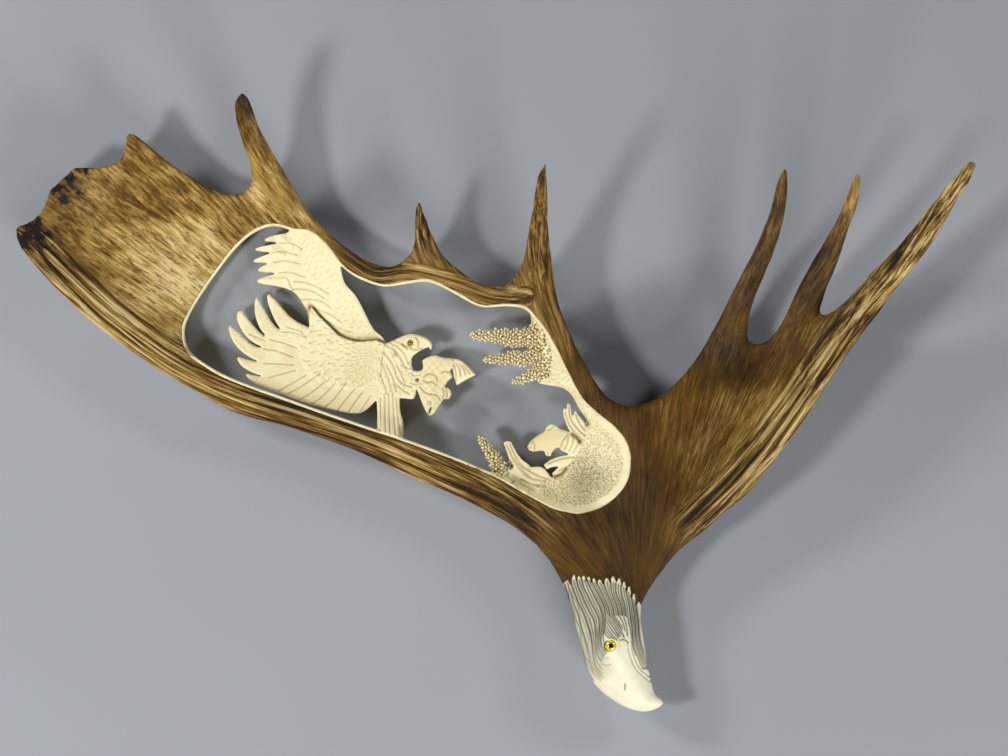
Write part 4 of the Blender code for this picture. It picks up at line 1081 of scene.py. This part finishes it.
def carve(obj, height, swell):
    """Moves the faces up and down by the relief and rounds them over at the sawn edges."""
    places, normals = read(obj)
    flat = np.abs(normals[:, 2]) >= WALL_RISE
    gap = wall_distance(places, normals)
    rise = height * smoothstep(0.1, 1.2, gap)
    rise -= EDGE_DROP * (1 - np.minimum(gap / EDGE_WIDTH, 1)) ** 2
    places[:, 2] += np.where(flat, np.sign(normals[:, 2]) * rise * MM, 0)
    places += normals * (np.where(flat, 0, swell) * MM)[:, None]
    write(obj, places)
    return flat


def carving_blank(look, name, side):
    """One side of what the window holds, in an even mesh: object, plan places, inside or rim."""
    blank = rounded_copy(name, ["main_palm"], CARVING_SWELL)
    cut(blank, window_loop(look.rim_width / MM), "INTERSECT")
    cut(blank, EAGLE_SIDE, side)
    remesh(blank, look.carving_step, 1)
    plan = plan_of(read(blank)[0])
    return blank, plan, inside(plan, window_loop())


class CARVEDANTLER_OT_skin(bpy.types.Operator):
    """Builds the antler's brown skin, furrowed along its ribs"""
    bl_idname = "carvedantler.skin"
    bl_label = "Antler skin"

    def execute(self, context):
        look = context.scene.carved_antler
        skin = rounded_copy("skin", ["main_palm", "brow_palm", "eagle_head_beam"], SKIN_SWELL)
        cut(skin, window_loop(look.rim_width / MM - RIM_OVERLAP), "DIFFERENCE")
        cut(skin, head_loop(-HEAD_OVERLAP), "DIFFERENCE")
        remesh(skin, look.skin_step, 2)
        places, normals = read(skin)
        plan = plan_of(places)
        palm, rib, masks, furrow, roughness = bark_values(plan, places[:, 2] / MM)
        depth = look.palm_relief * (1 - masks[:, 0]) + look.furrow_depth * roughness * masks[:, 0]
        from_window = line_coordinates(plan, window_loop())[0]
        from_head = line_coordinates(plan, FEATHER_TIPS)[0]
        calm = smoothstep(2.0, 8.0, from_window) * smoothstep(1.0, 8.0, from_head)
        low = smoothstep(1.0, 6.0, places[:, 2] / MM)
        places += normals * (furrow * depth * calm * low)[:, None]
        write(skin, places)
        note(skin, "palm_grain", palm)
        note(skin, "rib_grain", rib)
        note(skin, "masks", masks)
        note(skin, "furrow", furrow)
        note(skin, "roughness", roughness)
        upper = (STEM_PLANE, True)
        share_out(skin, weathered_antler(look), (
            ("stem_skin", [(STEM_PLANE, False)], "eagle_head_beam", "stem_bone"),
            ("palm_skin", [upper, (FORK_PLANE, True)], "main_palm", "palm_bone"),
            ("brow_skin", [upper, (FORK_PLANE, False)], "brow_palm", "brow_bone")))
        return {"FINISHED"}


class CARVEDANTLER_OT_head(bpy.types.Operator):
    """Builds the carved eagle's head at the end of the stem"""
    bl_idname = "carvedantler.head"
    bl_label = "Eagle's head"

    def execute(self, context):
        look = context.scene.carved_antler
        head = rounded_copy("eagle_head", ["eagle_head_beam"], SKIN_SWELL)
        cut(head, head_loop(0), "INTERSECT")
        remesh(head, look.head_step, 3)
        places, normals = read(head)
        height, cuts, dust = head_relief(plan_of(places))
        low = smoothstep(0.3, 2.5, places[:, 2] / MM)
        places += normals * ((height + 0.35) * low * MM)[:, None]
        write(head, places)
        note(head, "cuts", np.stack([cuts, dust, 0 * cuts], 1))
        bone = carved_antler(look, look.head_ivory, look.head_cut_shade)
        finish(head, bone, "eagle_head_beam")
        return {"FINISHED"}


class CARVEDANTLER_OT_flying_eagle(bpy.types.Operator):
    """Builds the flying eagle with its fish, and the rim on its side"""
    bl_idname = "carvedantler.flying_eagle"
    bl_label = "Flying eagle"

    def execute(self, context):
        look = context.scene.carved_antler
        eagle, plan, within = carving_blank(look, "eagle", "INTERSECT")
        height, cuts, tan = flying_eagle(plan)
        flat = carve(eagle, np.where(within, height, RIM_HEIGHT), 0 * height)
        note(eagle, "cuts", np.stack([cuts * flat * within, 0 * cuts, tan * within], 1))
        share_out(eagle, carved_antler(look, look.ivory, look.cut_shade), (
            ("eagle_wing_tips", [(WING_TIP_PLANE, True)], "main_palm", "palm_bone"),
            ("eagle_wings", [(WING_TIP_PLANE, False), (WING_ROOT_PLANE, True)], "main_palm",
             "palm_bone"),
            ("eagle_body_and_fish", [(WING_ROOT_PLANE, False)], "main_palm", "palm_bone")))
        return {"FINISHED"}


class CARVEDANTLER_OT_woods(bpy.types.Operator):
    """Builds the spruces, banks, driftwood and leaping fish, and the rim on their side"""
    bl_idname = "carvedantler.woods"
    bl_label = "Woods and banks"

    def execute(self, context):
        look = context.scene.carved_antler
        grove, plan, within = carving_blank(look, "grove", "DIFFERENCE")
        height, cuts, dust, tan, swell = woods(plan)
        flat = carve(grove, np.where(within, height, RIM_HEIGHT), swell)
        # Painted shade: the dark of the cuts on the faces, and on the walls a dark tint in the
        # notches between the spruce boughs.
        shade = np.where(flat, cuts, 0.3 * (swell < -0.3))
        note(grove, "cuts", np.stack([shade, dust * flat, tan], 1) * within[:, None])
        share_out(grove, carved_antler(look, look.ivory, look.cut_shade), (
            ("spruces_and_snow", [(WOODS_PLANE, True)], "main_palm", "palm_bone"),
            ("bank_and_driftwood", [(WOODS_PLANE, False)], "main_palm", "palm_bone")))
        return {"FINISHED"}


def eyeball(look, name, node_name, pupil_mm):
    """A round eye in the place of its CAD ball."""
    low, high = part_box(node_name)
    centre = (Vector(low) + Vector(high)) / 2
    radius = (high[0] - low[0]) / 2
    mesh = bmesh.new()
    bmesh.ops.create_uvsphere(mesh, u_segments=48, v_segments=24, radius=radius)
    bmesh.ops.translate(mesh, verts=mesh.verts, vec=centre)
    for face in mesh.faces:
        face.smooth = True
    glass = glass_eye(look, "glass eye, " + name, centre, pupil_mm, radius / MM * IRIS_SHARE)
    finish(mesh_object(name, mesh), glass, node_name)


class CARVEDANTLER_OT_eyes(bpy.types.Operator):
    """Builds the two glass eyes of the head and the flying eagle's bead"""
    bl_idname = "carvedantler.eyes"
    bl_label = "Glass eyes"

    def execute(self, context):
        look = context.scene.carved_antler
        eyeball(look, "head_eye_front", "glass_eye_front", HEAD_PUPIL)
        eyeball(look, "head_eye_back", "glass_eye_back", HEAD_PUPIL)
        eyeball(look, "flying_eagle_eye", "flyer_eye", FLYER_PUPIL)
        return {"FINISHED"}


def area_light(name, place, size, power):
    light = bpy.data.lights.new(name, "AREA")
    light.shape = "DISK"
    light.size = size
    light.energy = power
    made = new_object(name, light)
    made.location = place
    way = Vector((0, 0, 0)) - Vector(place)
    made.rotation_euler = way.to_track_quat("-Z", "Y").to_euler()


class CARVEDANTLER_OT_stage(bpy.types.Operator):
    """Builds the floor, the lights and the camera"""
    bl_idname = "carvedantler.stage"
    bl_label = "Stage"

    def execute(self, context):
        scene = context.scene
        mesh = bmesh.new()
        bmesh.ops.create_grid(mesh, x_segments=1, y_segments=1, size=FLOOR_HALF_WIDTH)
        floor = mesh_object("floor", mesh)
        floor.data.materials.append(backdrop(scene.carved_antler))
        for name, (place, size, power) in LIGHTS.items():
            area_light(name, place, size, power)
        world = bpy.data.worlds.new("studio")
        world.use_nodes = True
        background = world.node_tree.nodes["Background"]
        background.inputs[0].default_value = linear("#E4E6EA")
        background.inputs[1].default_value = SKY_STRENGTH
        scene.world = world
        scene.view_settings.view_transform = "Standard"

        lens = bpy.data.cameras.new("camera")
        lens.lens = lens.sensor_width * CAMERA_HEIGHT / (PHOTO_WIDTH * MM)
        lens.clip_end = 100
        camera = new_object("camera", lens)
        camera.location = (*(PLAN_SHIFT * MM), PALM_LEVEL + CAMERA_HEIGHT)
        scene.camera = camera
        return {"FINISHED"}


class CARVEDANTLER_PT_panel(bpy.types.Panel):
    bl_label = "Carved antler"
    bl_idname = "CARVEDANTLER_PT_panel"
    bl_space_type = "VIEW_3D"
    bl_region_type = "UI"
    bl_category = "Antler"

    def draw(self, context):
        look = context.scene.carved_antler
        for name in CARVEDANTLER_PG_look.__annotations__:
            self.layout.prop(look, name)
        for operator in OPERATORS:
            self.layout.operator(operator.bl_idname)


OPERATORS = (
    CARVEDANTLER_OT_skin, CARVEDANTLER_OT_head, CARVEDANTLER_OT_flying_eagle,
    CARVEDANTLER_OT_woods, CARVEDANTLER_OT_eyes, CARVEDANTLER_OT_stage,
)
CLASSES = (CARVEDANTLER_PG_look,) + OPERATORS + (CARVEDANTLER_PT_panel,)


def register():
    for item in CLASSES:
        bpy.utils.register_class(item)
    bpy.types.Scene.carved_antler = bpy.props.PointerProperty(type=CARVEDANTLER_PG_look)


def unregister():
    del bpy.types.Scene.carved_antler
    for item in reversed(CLASSES):
        bpy.utils.unregister_class(item)


def main():
    register()
    bpy.ops.carvedantler.skin()
    bpy.ops.carvedantler.head()
    bpy.ops.carvedantler.flying_eagle()
    bpy.ops.carvedantler.woods()
    bpy.ops.carvedantler.eyes()
    bpy.ops.carvedantler.stage()
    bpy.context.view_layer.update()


if __name__ == "__main__":
    main()
